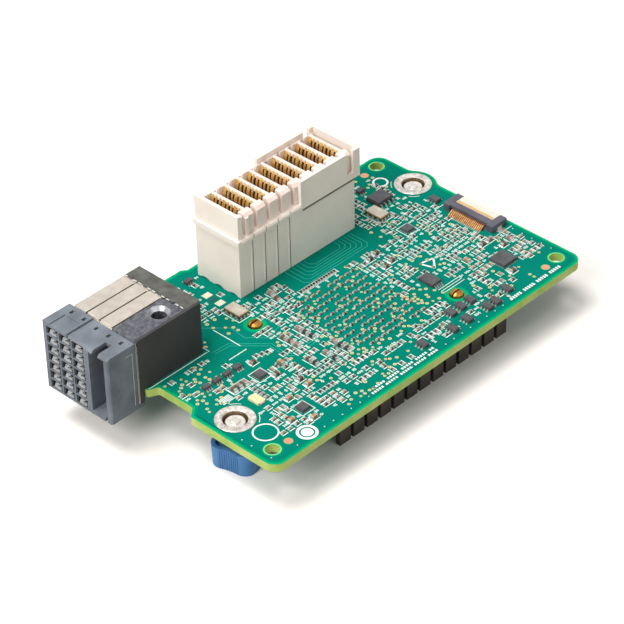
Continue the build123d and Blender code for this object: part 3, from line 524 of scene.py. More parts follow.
class Collector:
    """Points and faces in board millimetres, with the finish of each face."""

    def __init__(self, name, slot, look, body="card"):
        self.name, self.slot, self.look, self.body = name, slot, look, body
        self.points, self.faces, self.looks = [], [], []

    def add(self, points, faces, look=None):
        """Takes a solid; look is one finish, or a list with one for each face."""
        start = len(self.points)
        self.points += points
        self.faces += [[start + i for i in face] for face in faces]
        self.looks += look if isinstance(look, list) else [look or self.look] * len(faces)

    def loft(self, rings, look=None):
        """Rings of points, each joined to the next, closed at both ends."""
        n, last = len(rings[0]), len(rings) - 1
        faces = [range(n)[::-1], range(last * n, last * n + n)]
        for k in range(last):
            for i in range(n):
                a, b = k * n + i, k * n + (i + 1) % n
                faces.append((a, b, b + n, a + n))
        self.add([tuple(p) for ring in rings for p in ring], faces, look)

    def extrude(self, outline, axis, start, end, look=None):
        """A flat outline drawn out along an axis; its points give the other two coordinates."""
        self.loft([[insert(p, axis, place) for p in outline] for place in (start, end)], look)

    def block(self, x0, x1, y0, y1, z0, z1, look=None):
        self.extrude(rectangle(x0, y0, x1, y1), 2, z0, z1, look)

    def strip(self, axis, along, across, z0, z1, look=None):
        """A block from its extents along an axis, in any order, and across it."""
        x, y = (across, along) if axis else (along, across)
        self.block(min(x), max(x), min(y), max(y), z0, z1, look)

    def soft_block(self, low, high, cut, look=None):
        """A block with every edge and corner cut back."""
        points = []
        index = {}
        for corner in CORNERS:
            for axis in range(3):
                index[corner, axis] = len(points)
                inward = [0.0 if a == axis else cut for a in range(3)]
                points.append(tuple(high[a] - inward[a] if corner[a] else low[a] + inward[a]
                                    for a in range(3)))
        faces = [[index[corner, axis] for axis in range(3)] for corner in CORNERS]
        for axis in range(3):
            b, c = [a for a in range(3) if a != axis]
            for side in (0, 1):
                faces.append([index[insert(pair, axis, side), axis] for pair in SQUARE])
            for pair in SQUARE:
                p, q = insert(pair, axis, 0), insert(pair, axis, 1)
                faces.append([index[p, b], index[p, c], index[q, c], index[q, b]])
        self.add(points, faces, look)

    def disc(self, x, y, radius, z0, z1, sides=10, look=None):
        self.extrude(circle(x, y, radius, sides), 2, z0, z1, look)

    def ring(self, x, y, inner, outer, z0, z1, sides=10, look=None):
        """A flat ring."""
        profile = [(inner, z0), (inner, z1), (outer, z1), (outer, z0)]
        self.turned(profile, x, y, sides, [look or self.look] * 4)

    def line(self, path, width, z0, z1, look=None):
        """A flat strip that follows a path of straight runs, with mitred corners."""
        left, right = [], []
        for i in range(len(path)):
            before, here, after = (Vector(path[min(max(k, 0), len(path) - 1)])
                                   for k in (i - 1, i, i + 1))
            a = (here - before).normalized() if i > 0 else (after - here).normalized()
            b = (after - here).normalized() if i < len(path) - 1 else a
            side = Vector((-(a.y + b.y), a.x + b.x)).normalized()
            reach = width / 2 / max(0.5, side.dot(Vector((-a.y, a.x))))
            left.append(tuple(here + side * reach))
            right.append(tuple(here - side * reach))
        for i in range(len(path) - 1):
            self.extrude([right[i], right[i + 1], left[i + 1], left[i]], 2, z0, z1, look)

    def turned(self, profile, x, y, sides, run_looks):
        """An outline in radius and Z, turned round an upright axis; a finish for each run."""
        points, rings, faces, looks = [], [], [], []
        for radius, z in profile:
            start = len(points)
            if radius:
                points += [(*p, z) for p in circle(x, y, radius, sides)]
                rings.append(list(range(start, start + sides)))
            else:
                points.append((x, y, z))
                rings.append([start] * sides)
        following = rings[1:] + rings[:1] if profile[0][0] else rings[1:]
        for a, b, look in zip(rings, following, run_looks):
            for i in range(sides):
                j = (i + 1) % sides
                faces.append(list(dict.fromkeys((a[i], a[j], b[j], b[i]))))
                looks.append(look)
        self.add(points, faces, looks)

    def make(self, *replaced, smooth=False):
        """Turns what was gathered into one piece, in place of any nodes that are named."""
        names = list(dict.fromkeys(self.looks))
        mesh = bpy.data.meshes.new(self.name)
        mesh.from_pydata([on_board(*p) for p in self.points], [], self.faces)
        for name in names:
            mesh.materials.append(finishes[name])
        mesh.polygons.foreach_set("material_index", [names.index(look) for look in self.looks])
        shape = bmesh.new()
        shape.from_mesh(mesh)
        bmesh.ops.recalc_face_normals(shape, faces=shape.faces)
        for face in shape.faces:
            face.smooth = smooth
        shape.to_mesh(mesh)
        shape.free()
        if smooth:
            mesh.set_sharp_from_angle(angle=SMOOTH_BELOW)
        piece = add_piece(self.name, mesh, self.body)
        if replaced:
            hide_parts(*replaced)


# %% [markdown]
# ## Where the CAD put each small part
# Capacitors, resistors and small chips share one node each, as separate solids. Their places are
# read back from the node's mesh: corners in the same place are joined, and each connected island is
# one part. So the parts that are drawn here always stand where the CAD stands them.

# %% Read the islands of a node
SAME_PLACE = 0.0005


def joined_mesh(node):
    """A node's mesh, with the corners that lie in one place joined."""
    shape = bmesh.new()
    shape.from_mesh(nodes[node].data)
    bmesh.ops.remove_doubles(shape, verts=shape.verts, dist=SAME_PLACE * MM)
    return shape


def islands(node):
    """The low and high corner of each separate solid of a node, in board millimetres."""
    shape = joined_mesh(node)
    seen = set()
    found = []
    for first in shape.verts:
        if first in seen:
            continue
        queue = [first]
        seen.add(first)
        for vert in queue:
            for edge in vert.link_edges:
                other = edge.other_vert(vert)
                if other not in seen:
                    seen.add(other)
                    queue.append(other)
        spots = [in_mm(vert.co) for vert in queue]
        found.append(tuple(Vector([pick(p[a] for p in spots) for a in range(3)])
                           for pick in (min, max)))
    shape.free()
    return sorted(found, key=lambda pair: (round(pair[0].x, 3), round(pair[0].y, 3)))


SHARED_NODES = ("large_capacitors", "small_capacitors", "small_resistors", "logic_chips",
                "small_power_chips", "oscillator_bases")
SINGLE_NODES = ("memory_chip", "regulator_chip", "power_chip", "tantalum_capacitor")
LARGE_NODES = ("mezzanine_base", "backplane_wafers", "guide_block", "stiffener", "cable_socket",
               "cable_contacts", "front_ferrule", "rear_ferrule", "side_plate",
               "memory_chip_leads", "regulator_chip_leads")
places = {node: islands(node) for node in SHARED_NODES}
places.update({node: [box_mm(node)] for node in SINGLE_NODES})
occupied = [pair for found in places.values() for pair in found]
occupied += [box_mm(node) for node in LARGE_NODES]
print({node: len(found) for node, found in places.items()})

# %% The field of bypass capacitors
FIELD_START, FIELD_STEP = (42.6, 14.0), (1.85, 1.95)
FIELD_HALF = Vector((0.475, 0.25, 0.25))
field = []
for i in range(11):
    for k in range(12):
        if (3 * i + 5 * k) % 7:
            centre = Vector((FIELD_START[0] + FIELD_STEP[0] * i,
                             FIELD_START[1] + FIELD_STEP[1] * k, FIELD_HALF.z))
            field.append((centre - FIELD_HALF, centre + FIELD_HALF))
occupied += field
print("field capacitors:", len(field))


# %% [markdown]
# ## Copper under the mask
# Inside the rim, copper fills the board and makes the green darker and bluer. It is a thin sheet
# just proud of the board, cut back from the holes. The board's own outline is taken from the CAD
# mesh and moved inwards, and a filled 2D curve does the hard part: it turns an outline with holes in
# it into faces.

# %% The board's outline, moved inwards
def outlines_of(node, tolerance=0.02):
    """The closed loops of a node's flat face at board height, in board millimetres."""
    shape = joined_mesh(node)
    flat = {f for f in shape.faces if all(abs(in_mm(v.co).z) < tolerance for v in f.verts)}
    left = {e for e in shape.edges if sum(f in flat for f in e.link_faces) == 1}
    loops = []
    while left:
        start, here = left.pop().verts
        loop = [start]
        while here is not start:
            loop.append(here)
            step = next((e for e in here.link_edges if e in left), None)
            if step is None:
                break
            left.discard(step)
            here = step.other_vert(here)
        loops.append([tuple(in_mm(v.co).xy) for v in loop])
    shape.free()
    return loops


def area_of(loop):
    """Twice the signed area of a loop."""
    return sum(a[0] * b[1] - b[0] * a[1] for a, b in zip(loop, loop[1:] + loop[:1]))


def moved_inwards(loop, distance):
    """A loop with every side moved inwards, with its corners kept from running out too far."""
    if area_of(loop) < 0:
        loop = loop[::-1]
    moved = []
    for i, corner in enumerate(loop):
        here = Vector(corner)
        a = (here - Vector(loop[i - 1])).normalized()
        b = (Vector(loop[(i + 1) % len(loop)]) - here).normalized()
        inward = Vector((-(a.y + b.y), a.x + b.x)).normalized()
        reach = distance / max(0.4, inward.dot(Vector((-a.y, a.x))))
        moved.append(tuple(here + inward * reach))
    return moved


board_outline = max(outlines_of("circuit_board"), key=lambda loop: abs(area_of(loop)))
print("board outline:", len(board_outline), "points")

# %% Where the holes are
TOOLING_HOLES = [(4.0, 4.75), (96.0, 4.75), (96.0, 60.25)]
SCREW_HOLES = [(5.75, 17.45), (96.25, 48.75)]
PIN_HOLES = []
for side in ("left", "right"):
    low, high = box_mm("push_pin_" + side)
    PIN_HOLES.append(((low.x + high.x) / 2, (low.y + high.y) / 2))
print("pin holes:", [(round(x, 2), round(y, 2)) for x, y in PIN_HOLES])


# %% Sheets of mask with holes
def flat_sheet(name, inset, hole_radii, z, thickness, finish_name):
    """A thin sheet over the whole board, moved in from its rim and from its holes."""
    loops = [moved_inwards(board_outline, inset)]
    for spots, radius in zip((TOOLING_HOLES, SCREW_HOLES, PIN_HOLES), hole_radii):
        loops += [circle(x, y, radius) for x, y in spots]
    curve = bpy.data.curves.new(name, "CURVE")
    curve.dimensions = "2D"
    curve.fill_mode = "BOTH"
    curve.extrude = thickness / 2 * MM
    for loop in loops:
        spline = curve.splines.new("POLY")
        spline.points.add(len(loop) - 1)
        for point, (x, y) in zip(spline.points, loop):
            point.co = (x * MM, y * MM, 0.0, 1.0)
        spline.use_cyclic_u = True
    holder = bpy.data.objects.new(name + "_curve", curve)
    scene.collection.objects.link(holder)
    bpy.context.view_layer.update()
    mesh = bpy.data.meshes.new_from_object(holder)
    bpy.data.objects.remove(holder)
    mesh.name = name
    mesh.transform(Matrix.Translation(on_board(0, 0, z + thickness / 2)))
    mesh.materials.clear()
    mesh.materials.append(finishes[finish_name])
    add_piece(name, mesh)


RIM_WIDTH = 1.15
MASK = 0.02
TOP = 2 * MASK
# Radii of the tooling, screw and pin holes in the rim's sheet, the middle one and the copper's
AT_HOLES, ROUND_HOLES, CLEAR_OF_HOLES = (1.72, 3.3, 1.8), (2.05, 3.4, 2.2), (2.45, 3.6, 2.9)
flat_sheet("mask_rim_top", 0.015, AT_HOLES, 0.0, MASK, "mask_rim")
flat_sheet("mask_middle_top", RIM_WIDTH * 0.55, ROUND_HOLES, MASK, MASK / 2, "mask_middle")
flat_sheet("mask_pour_top", RIM_WIDTH, CLEAR_OF_HOLES, MASK * 1.5, MASK / 2, "mask_pour")
flat_sheet("mask_rim_under", 0.05, AT_HOLES, UNDER - MASK, MASK, "mask_rim")
flat_sheet("mask_pour_under", RIM_WIDTH, CLEAR_OF_HOLES, UNDER - TOP, MASK, "mask_pour")

# %% [markdown]
# ## Plated holes and targets
# The corner holes have a pale ring of bare laminate and plating. Beside each is a round copper
# target that placing machines look for, in a window of the mask.

# %% Hole rings, targets and bare pads
TARGETS = [(8.2, 4.2), (91.2, 59.7), (91.5, 4.15)]
rings = Collector("hole_rings", "board", "mask_rim")
for x, y in TOOLING_HOLES:
    rings.ring(x, y, 1.66, 1.95, 0.0, TOP + 0.02, 40, "rim_glow")
for x, y in PIN_HOLES:
    rings.ring(x, y, 1.8, 2.6, 0.0, TOP + 0.01, 40)
for x, y in TARGETS:
    rings.disc(x, y, 1.2, 0.0, TOP + 0.01, 28)
    rings.disc(x, y, 0.95, 0.0, TOP + 0.03, 28, "bare_copper")
rings.make()
bare = Collector("bare_pads", "board", "bare_pad")
for y in (53.2, 49.0):
    bare.block(31.4, 33.5, y - 0.85, y + 0.85, 0.0, TOP + 0.03)
bare.block(31.3, 33.4, 50.2, 52.1, 0.0, TOP + 0.01, "mask_dark")
bare.make()

# %% [markdown]
# ## The crowd of smallest parts
# Between the parts that CAD models stand a few hundred more resistors and capacitors, too small to
# place one by one. The busy areas are named rectangles with a share that says how full they are.
# Each is filled on a loose grid with a fixed seed, and a part that would touch another is left out.

# %% What the crowd keeps clear of
KEEP_OUT = [(x, y, radius) for spots, radius in ((TOOLING_HOLES, 2.6), (SCREW_HOLES, 5.0),
                                                 (PIN_HOLES, 3.0), (TARGETS, 1.4))
            for x, y in spots]
PLAIN_SHAPES = [(7.0, 9.7, 3.2), (12.9, 3.3, 2.4), (9.1, 23.5, 1.9), (91.65, 55.0, 2.3),
                (75.0, 24.6, 2.7), (32.4, 53.2, 1.6), (32.2, 49.0, 1.6), (32.3, 51.2, 1.6)]
MARGIN, RIGHT_LIMIT, BACK_LIMIT = 2.4, 97.6, 61.2
NOTCH_X, NOTCH_Y = 18.8, 36.8


def clear_of_parts(x0, y0, x1, y1, gap):
    """True where a rectangle stands clear of every part by more than a gap."""
    return not any(low.x - gap < x1 and high.x + gap > x0 and low.y - gap < y1 and high.y + gap > y0
                   for low, high in occupied)


def clear_of_circles(x, y, circles, gap=0.0):
    return all(math.hypot(x - a, y - b) > radius + gap for a, b, radius in circles)


def box_is_free(x0, y0, x1, y1, gap):
    """True where a rectangle is on the board, clear of every part, hole and printed shape."""
    if x0 < MARGIN or x1 > RIGHT_LIMIT or y0 < MARGIN or y1 > BACK_LIMIT:
        return False
    if x0 < NOTCH_X and y1 > NOTCH_Y:
        return False
    return clear_of_parts(x0, y0, x1, y1, gap) and clear_of_circles(
        (x0 + x1) / 2, (y0 + y1) / 2, KEEP_OUT + PLAIN_SHAPES, 0.5)


# %% Fill the busy areas
BUSY = {
    "front left": (9.0, 5.2, 28.5, 25.2, 0.95),
    "front middle": (28.5, 7.0, 39.0, 20.0, 0.8),
    "capacitor groups": (31.0, 20.0, 42.0, 35.5, 0.85),
    "behind the left pin": (33.5, 35.5, 47.0, 45.8, 0.9),
    "beside the tall connector": (25.5, 46.5, 36.0, 61.2, 0.8),
    "left edge": (3.2, 26.0, 16.0, 36.5, 0.2),
    "behind the field": (47.0, 35.2, 78.0, 38.6, 0.8),
    "right of the field": (62.5, 21.0, 81.0, 37.0, 0.9),
    "front of the field": (40.0, 4.5, 56.0, 13.0, 0.45),
    "front right": (55.0, 4.0, 70.0, 12.5, 0.85),
    "under the right pin": (70.0, 3.0, 84.0, 10.5, 0.6),
    "power group": (76.0, 10.5, 97.2, 25.0, 0.95),
    "right": (78.0, 25.0, 94.8, 46.5, 0.8),
    "back right": (75.5, 44.5, 91.5, 61.0, 0.8),
}
PART_HALF, LABEL_HALF = (0.5, 0.26), (0.7, 0.4)
PART_SHARE, PART_GAP, LABEL_GAP = 0.62, 0.5, 0.1
dice = random.Random(11)
crowd = []
labels = []

for x0, y0, x1, y1, share in BUSY.values():
    axis = 0
    y = y0
    while y < y1:
        x = x0 + dice.uniform(0.0, 0.6)
        if dice.random() < 0.5:
            axis = 1 - axis
        half_x, half_y = PART_HALF[axis], PART_HALF[1 - axis]
        while x < x1:
            low = Vector((x - half_x, y - half_y, 0.0))
            high = Vector((x + half_x, y + half_y, dice.choice((0.35, 0.5))))
            label = [(x + s * LABEL_HALF[0], y + s * LABEL_HALF[1]) for s in (-1, 1)]
            chance = dice.random()
            if chance < share * PART_SHARE and box_is_free(*low.xy, *high.xy, PART_GAP):
                crowd.append((low, high))
                occupied.append((low, high))
            elif chance < share and box_is_free(*label[0], *label[1], LABEL_GAP):
                labels.append((x, y, axis))
                occupied.append(tuple(Vector((*corner, 0.0)) for corner in label))
            x += 1.5 if axis else 2.05
        y += 2.0 if axis else 1.55
print("small parts:", len(crowd), "labels:", len(labels))

# %% [markdown]
# ## Vias
# A via joins the layers: a plated ring round a tiny hole that the mask half fills. They come in
# loose fields between the parts. Each field here is a named rectangle with a number of vias, thrown
# at random with a fixed seed. A via that would land under a part or on its neighbour is left out.

# %% Scatter the vias
VIA_FIELDS = {
    "left of the notch": (3.2, 26.0, 14.0, 37.0, 70),
    "left edge": (2.5, 20.5, 9.0, 26.0, 10),
    "behind the notch": (18.5, 37.5, 30.0, 62.0, 38),
    "front left": (25.0, 3.0, 41.0, 17.0, 75),
    "beside the caps": (26.0, 20.0, 44.0, 33.0, 40),
    "left of the field": (38.0, 5.0, 48.0, 16.0, 30),
    "round the field": (40.0, 12.0, 64.0, 38.0, 250),
    "right of the field": (62.0, 12.0, 76.0, 34.0, 70),
    "front right": (48.0, 3.0, 90.0, 14.0, 60),
    "right": (76.0, 14.0, 97.0, 36.0, 70),
    "back right": (75.0, 36.0, 92.0, 61.0, 60),
    "corner": (90.0, 6.0, 98.0, 14.0, 10),
}
VIA_GAP, VIA_PITCH = 0.45, 0.85
VIA_SIZES, CENTRE_SHARE = (0.32, 0.36, 0.4, 0.44), 0.45
dice = random.Random(7)


def is_free(x, y, gap):
    """True where no part stands within a gap of a place, and no hole is near."""
    return clear_of_parts(x, y, x, y, gap) and clear_of_circles(x, y, KEEP_OUT)


vias = Collector("vias", "gold", "via_gold")
via_places = []
for x0, y0, x1, y1, count in VIA_FIELDS.values():
    for _ in range(count):
        x = dice.uniform(x0, x1)
        y = dice.uniform(y0, y1)
        if is_free(x, y, VIA_GAP) and not any(math.hypot(x - a, y - b) < VIA_PITCH
                                              for a, b in via_places):
            size = dice.choice(VIA_SIZES)
            vias.disc(x, y, size, 0.0, TOP + 0.02, 12)
            vias.disc(x, y, size * CENTRE_SHARE, 0.0, TOP + 0.024, 8, "via_centre")
            via_places.append((x, y))
print("vias:", len(via_places))

# %% Rows of dots just inside the edges
DOT_ROWS = [(1.9, 3.0, 1.9, 14.5), (8.5, 1.9, 90.5, 1.9), (98.1, 8.0, 98.1, 19.5),
            (88.0, 61.6, 76.0, 61.6)]
DOT_PITCH = 2.7
for x0, y0, x1, y1 in DOT_ROWS:
    count = int(math.hypot(x1 - x0, y1 - y0) / DOT_PITCH)
    for i in range(count + 1):
        x, y = x0 + (x1 - x0) * i / count, y0 + (y1 - y0) * i / count
        if clear_of_circles(x, y, KEEP_OUT):
            vias.disc(x, y, 0.14, 0.0, TOP + 0.02, 8, "print_white")
vias.make()

# %% [markdown]
# ## Capacitors and resistors
# A ceramic part is a fired block with tinned ends, soldered to two pads. The solder climbs each end
# in a small ramp, which is what glints in the photograph. The block's colour depends on its kind:
# large values are tan or brown, and resistors are black on top.

# %% Draw one soldered part
PAD_TOP = TOP + 0.03
# Shares of a part's own measures: cut edges, pad width, and the solder's height and reach
CUT_SHARE, PAD_SHARE, RAMP_SHARE, REACH_SHARE = 0.12, 1.08, 0.55, 0.28


def soldered_part(parts, low, high, body_look, cap_share):
    """A two-ended part with caps, solder ramps and pads, along its longer side."""
    size, centre = high - low, (low + high) / 2
    axis = 0 if size.x >= size.y else 1
    length, width, height = size[axis], size[1 - axis], size.z
    end, half, cap = length / 2, width / 2, length * cap_share
    cut = min(width, height) * CUT_SHARE
    lift = TOP + 0.02

    def place(along, across, z):
        x, y = (across, along) if axis else (along, across)
        return centre.x + x, centre.y + y, z

    middle = end - cap * 0.8
    parts.soft_block(place(-middle, -half * 0.95, lift),
                     place(middle, half * 0.95, height - 0.015), cut * 0.6, body_look)
    for side in (-1, 1):
        near, far = sorted((side * (end - cap), side * end))
        parts.soft_block(place(near, -half, lift), place(far, half, height), cut, "tin")
        root = side * (end - 0.03)
        foot = side * (end + REACH_SHARE * width + 0.05)
        knee = side * end + (foot - side * end) * 0.45
        ramp = RAMP_SHARE * height
        outline = [(root, 0.0), (foot, 0.0), (foot, PAD_TOP), (knee, ramp * 0.35), (root, ramp)]
        middle_across, half_pad = centre[1 - axis], half * PAD_SHARE
        parts.extrude([(centre[axis] + u, z) for u, z in outline], 1 - axis,
                      middle_across - half_pad, middle_across + half_pad, "solder")


# %% Draw all of them
TAN, BROWN, MAUVE, BLACK = "cap_tan", "cap_brown", "cap_mauve", "resistor_black"


def by_place(centre):
    """The left front corner has mostly tan parts, the rest brown and mauve ones."""
    if centre.x < 30 and centre.y < 32:
        return dice.choice((TAN, TAN, BROWN, MAUVE))
    if centre.x > 80 and centre.y < 25:
        return dice.choice((TAN, BROWN, MAUVE))
    return dice.choice((BROWN, BROWN, MAUVE, BLACK))


def draw_parts(name, slot, boxes, look, *replaced, cap_share=0.24):
    """A crowd of soldered parts as one piece; look gives a part's finish from its place."""
    parts = Collector(name, slot, BROWN)
    for low, high in boxes:
        soldered_part(parts, low, high, look((low + high) / 2), cap_share)
    parts.make(*replaced)


draw_parts("crowd", "capacitor", crowd, by_place)
draw_parts("field_capacitors", "capacitor", field,
           lambda centre: dice.choice((BROWN, BROWN, MAUVE, TAN)))
for node in ("large_capacitors", "small_capacitors"):
    draw_parts(node + "_drawn", "capacitor", places[node], by_place, node)
draw_parts("small_resistors_drawn", "resistor", places["small_resistors"],
           lambda centre: dice.choice((BLACK, BLACK, BROWN)), "small_resistors", cap_share=0.2)

# %% [markdown]
# ## Moulded chips
# A chip's epoxy body is pressed in a two-part mould, so its sides slope away from a parting line at
# mid height, and a dimple marks its first lead. The sloped sides catch a thin highlight, which a
# plain block never does.

# %% Chip bodies
DRAFT, TOP_DRAFT, CHIP_RIM = 0.06, 0.042, 0.05
CHIPS = ("memory_chip", "regulator_chip", "power_chip", "small_power_chips", "logic_chips")
chips = Collector("chip_bodies", "chip_black", "epoxy_black")
for low, high in (pair for node in CHIPS for pair in places[node]):
    middle = (low.z + high.z) / 2
    levels = [(low.z, DRAFT), (middle - 0.01, 0.0), (middle + 0.01, 0.0),
              (high.z - CHIP_RIM, TOP_DRAFT), (high.z, TOP_DRAFT + CHIP_RIM)]
    chips.loft([[(*p, z) for p in rectangle(low.x + inset, low.y + inset, high.x - inset,
                                            high.y - inset)] for z, inset in levels])
    if min(high.x - low.x, high.y - low.y) > 2.0:
        chips.ring(low.x + 0.16 * (high.x - low.x), low.y + 0.20 * (high.y - low.y), 0.16, 0.24,
                   high.z - 0.02, high.z + 0.012, 16)
chips.make(*CHIPS)

# %% [markdown]
# ## Leads and side pads
# The six-lead chips stand on thin bent leads. Each lead is a strip that leaves the body at mid
# height, drops and runs out along its pad. Flat chips have no leads, only a row of tinned pads that
# show at their sides.

# %% Leads of the small chips
LEAD, LEAD_WIDTH, LEAD_REACH, LEAD_HEIGHT = 0.12, 0.26, 0.42, 0.45
LEAD_RUN = [(0.0, LEAD_HEIGHT), (LEAD_REACH * 0.45, LEAD_HEIGHT),
            (LEAD_REACH * 0.62, TOP + LEAD + 0.02), (LEAD_REACH * 1.15, TOP + LEAD + 0.02),
            (LEAD_REACH * 1.15, TOP), (LEAD_REACH * 0.52, TOP),
            (LEAD_REACH * 0.36, LEAD_HEIGHT - LEAD), (0.0, LEAD_HEIGHT - LEAD)]
leads = Collector("logic_chip_leads", "tin", "tin")
for low, high in places["logic_chips"]:
    size, centre = high - low, (low + high) / 2
    axis = 0 if size.y > size.x else 1
    for side, edge in ((-1, low[axis]), (1, high[axis])):
        for i in (-1, 0, 1):
            middle = centre[1 - axis] + i * size[1 - axis] * 0.33
            leads.extrude([(edge + side * u, z) for u, z in LEAD_RUN], 1 - axis,
                          middle - LEAD_WIDTH / 2, middle + LEAD_WIDTH / 2)
            leads.strip(axis, (edge, edge + side * 0.62), (middle - 0.2, middle + 0.2), 0.0,
                        TOP + 0.02, "solder")
leads.make()


# %% Side pads of the flat ones
def side_pads(low, high, pitch, margin, reach, length):
    """Tinned pads round the four sides of a flat part."""
    for axis in (0, 1):
        span = high[axis] - low[axis] - 2 * margin
        count = max(1, int(round(span / pitch)))
        for i in range(count + 1):
            place = low[axis] + margin + i * span / count
            for edge, side in ((low[1 - axis], -1), (high[1 - axis], 1)):
                pads.strip(axis, (place - length / 2, place + length / 2),
                           (edge - side * 0.04, edge + side * reach), 0.0, TOP + 0.05)


PAD_ROWS = {"power_chip": (0.5, 0.45, 0.28, 0.26), "small_power_chips": (0.5, 0.35, 0.25, 0.24),
            "oscillator_bases": (1.0, 0.5, 0.22, 0.5)}
pads = Collector("side_pads", "tin", "solder")
for node, measures in PAD_ROWS.items():
    for low, high in places[node]:
        side_pads(low, high, *measures)
low, high = box_mm("tantalum_capacitor")
middle = (low.x + high.x) / 2
for y in (low.y, high.y):
    pads.soft_block((middle - 0.6, y - 0.35, 0.0), (middle + 0.6, y + 0.35, 0.45), 0.05)
pads.make()

# %% Gilt rims and side contacts of the oscillators
rims = Collector("oscillator_rims", "gold", "gilt")
for low, high in islands("oscillator_lids"):
    rims.soft_block((low.x - 0.1, low.y - 0.1, low.z - 0.05),
                    (high.x + 0.1, high.y + 0.1, low.z + 0.07), 0.03)
for low, high in places["oscillator_bases"]:
    top = high.z * 0.7
    for k in range(3):
        y = low.y + 0.9 + k * (high.y - low.y - 1.8) / 2
        for x in (low.x, high.x):
            rims.soft_block((x - 0.05, y - 0.3, 0.0), (x + 0.05, y + 0.3, top), 0.02, "tin")
        x = low.x + 0.6 + k * (high.x - low.x - 1.2) / 2
        for y in (low.y, high.y):
            rims.soft_block((x - 0.25, y - 0.05, 0.0), (x + 0.25, y + 0.05, top), 0.02, "tin")
rims.make()

# %% [markdown]
# ## Printed marks
# A board carries white print: strokes beside its parts, frames round a few of them and arcs round
# its screw holes. Plain strokes, bars and rings are enough to carry the look of it. Each is a thin
# strip two hundredths of a millimetre high, just above the mask.

# %% Strokes
PRINT_LOW, PRINT_HIGH = TOP, TOP + 0.02
TICK_PITCH = 0.34
legend = Collector("legend", "board", "print_white")


def stroke(path, width=0.16):
    legend.line(path, width, PRINT_LOW, PRINT_HIGH)


def straight(axis, place, start, end, width):
    """A stroke along an axis, at a place on the other one."""
    stroke([insert((v,), 1 - axis, place) for v in (start, end)], width)


def frame_round(x0, y0, x1, y1, width=0.16):
    corners = rectangle(x0, y0, x1, y1)
    stroke(corners + corners[:1], width)


def bracket(low, high, gap=0.34, overrun=0.3):
    """Two strokes beside a part, along its longer side."""
    axis = 0 if high.x - low.x >= high.y - low.y else 1
    for place in (low[1 - axis] - gap, high[1 - axis] + gap):
        straight(axis, place, low[axis] - overrun, high[axis] + overrun, 0.2)


def tick_row(spot, axis, count):
    """A few short bars beside a part, side by side along an axis."""
    for i in range(count):
        half = dice.choice((0.45, 0.65, 0.8)) / 2
        straight(1 - axis, spot[axis] + i * TICK_PITCH, spot[1 - axis] - half,
                 spot[1 - axis] + half, 0.18)


# %% Strokes beside the small parts
for x, y, axis in labels:
    if axis == 0:
        tick_row((x - 0.6, y), axis, dice.choice((3, 4, 5)))
    else:
        tick_row((x, y - 0.5), axis, dice.choice((3, 4)))
for low, high in crowd:
    bracket(low, high)
for node in ("large_capacitors", "small_capacitors", "small_resistors"):
    for low, high in places[node]:
        bracket(low, high)
        if dice.random() < 0.75:
            axis = 0 if high.x - low.x >= high.y - low.y else 1
            spot = (high.x + 0.85, low.y) if axis else (low.x, high.y + 0.85)
            if is_free(spot[0] + 0.5, spot[1] + 0.4, 0.3):
                tick_row(spot, axis, dice.choice((2, 3, 4)))
print("print faces so far:", len(legend.faces))

# %% Strokes, frames and arcs round the large ones
ARC_RADIUS = 5.2
chip_low = box_mm("regulator_chip")[0]
for i in range(3):
    straight(0, chip_low.y - 1.4 - 0.8 * i, chip_low.x + 0.5, chip_low.x + 7.5, 0.14)
socket_low, socket_high = box_mm("cable_socket")
for side, y in ((-1, socket_low.y), (1, socket_high.y)):
    stroke([(socket_low.x - 1.6, y + side * 0.5), (socket_low.x - 1.6, y + side * 1.2),
            (socket_high.x + 0.4, y + side * 1.2)])
for x, y in SCREW_HOLES:
    for middle in (45, 135, 225, 315):
        arc = [polar(x, y, ARC_RADIUS, math.radians(middle + d)) for d in range(-14, 15, 4)]
        if all(2.0 < a < 98.0 for a, b in arc):
            stroke(arc, 0.14)
for node in ("small_power_chips", "oscillator_bases"):
    for low, high in places[node]:
        frame_round(low.x - 0.65, low.y - 0.65, high.x + 0.65, high.y + 0.65, 0.18)

# %% Long printed lines and plain shapes
# Axis, place on the other axis, start, end and width of each line
LONG_LINES = [(0, 38.3, 0.4, 17.9, 0.2), (1, 18.4, 38.1, 60.2, 0.16), (1, 24.4, 34.6, 43.0, 0.2),
              (0, 32.8, 19.2, 24.5, 0.2)]
LONG_LINES += [(0, 22.7 + 0.42 * i, 7.5, 10.7, 0.24) for i in range(5)]
for line in LONG_LINES:
    straight(*line)
frame_round(11.4, 23.2, 16.8, 26.0)
# Centre, inner and outer radius and number of sides of each ring
for x, y, inner, outer, sides in ((7.0, 9.7, 2.55, 2.9, 44), (12.9, 3.3, 1.75, 2.4, 40),
                                  (91.65, 55.0, 1.45, 1.95, 36)):
    legend.ring(x, y, inner, outer, PRINT_LOW, PRINT_HIGH, sides)
legend.disc(12.9, 3.3, 1.35, PRINT_LOW, PRINT_HIGH, 32)
triangle = [polar(75.0, 24.6, 2.2, 2 * math.pi * i / 3 + 0.3) for i in range(3)]
for i in range(3):
    stroke([triangle[i - 1], triangle[i]], 0.45)

# %% Rows of plain bars, in groups of five
BAR_ROWS = [(31.5, 52.5, 2.0, 0.6), (33.0, 53.0, 3.1, 0.6), (77.0, 94.5, 2.1, 0.85)]
BAR_PITCH, BAR_LENGTH = 0.75, 0.48
for start, end, y, height in BAR_ROWS:
    for i in range(int((end - start) / BAR_PITCH)):
        if i % 6 != 5:
            x = start + BAR_PITCH * i
            straight(0, y, x, x + BAR_LENGTH, height)
legend.make()

# %% [markdown]
# ## Traces
# Signal tracks show through the mask as slightly raised, lighter lines. Only the long ones read
# from this distance: the pairs that cross the left of the board, and the nested loops in front of
# the tall connector, where tracks are folded to equal lengths.

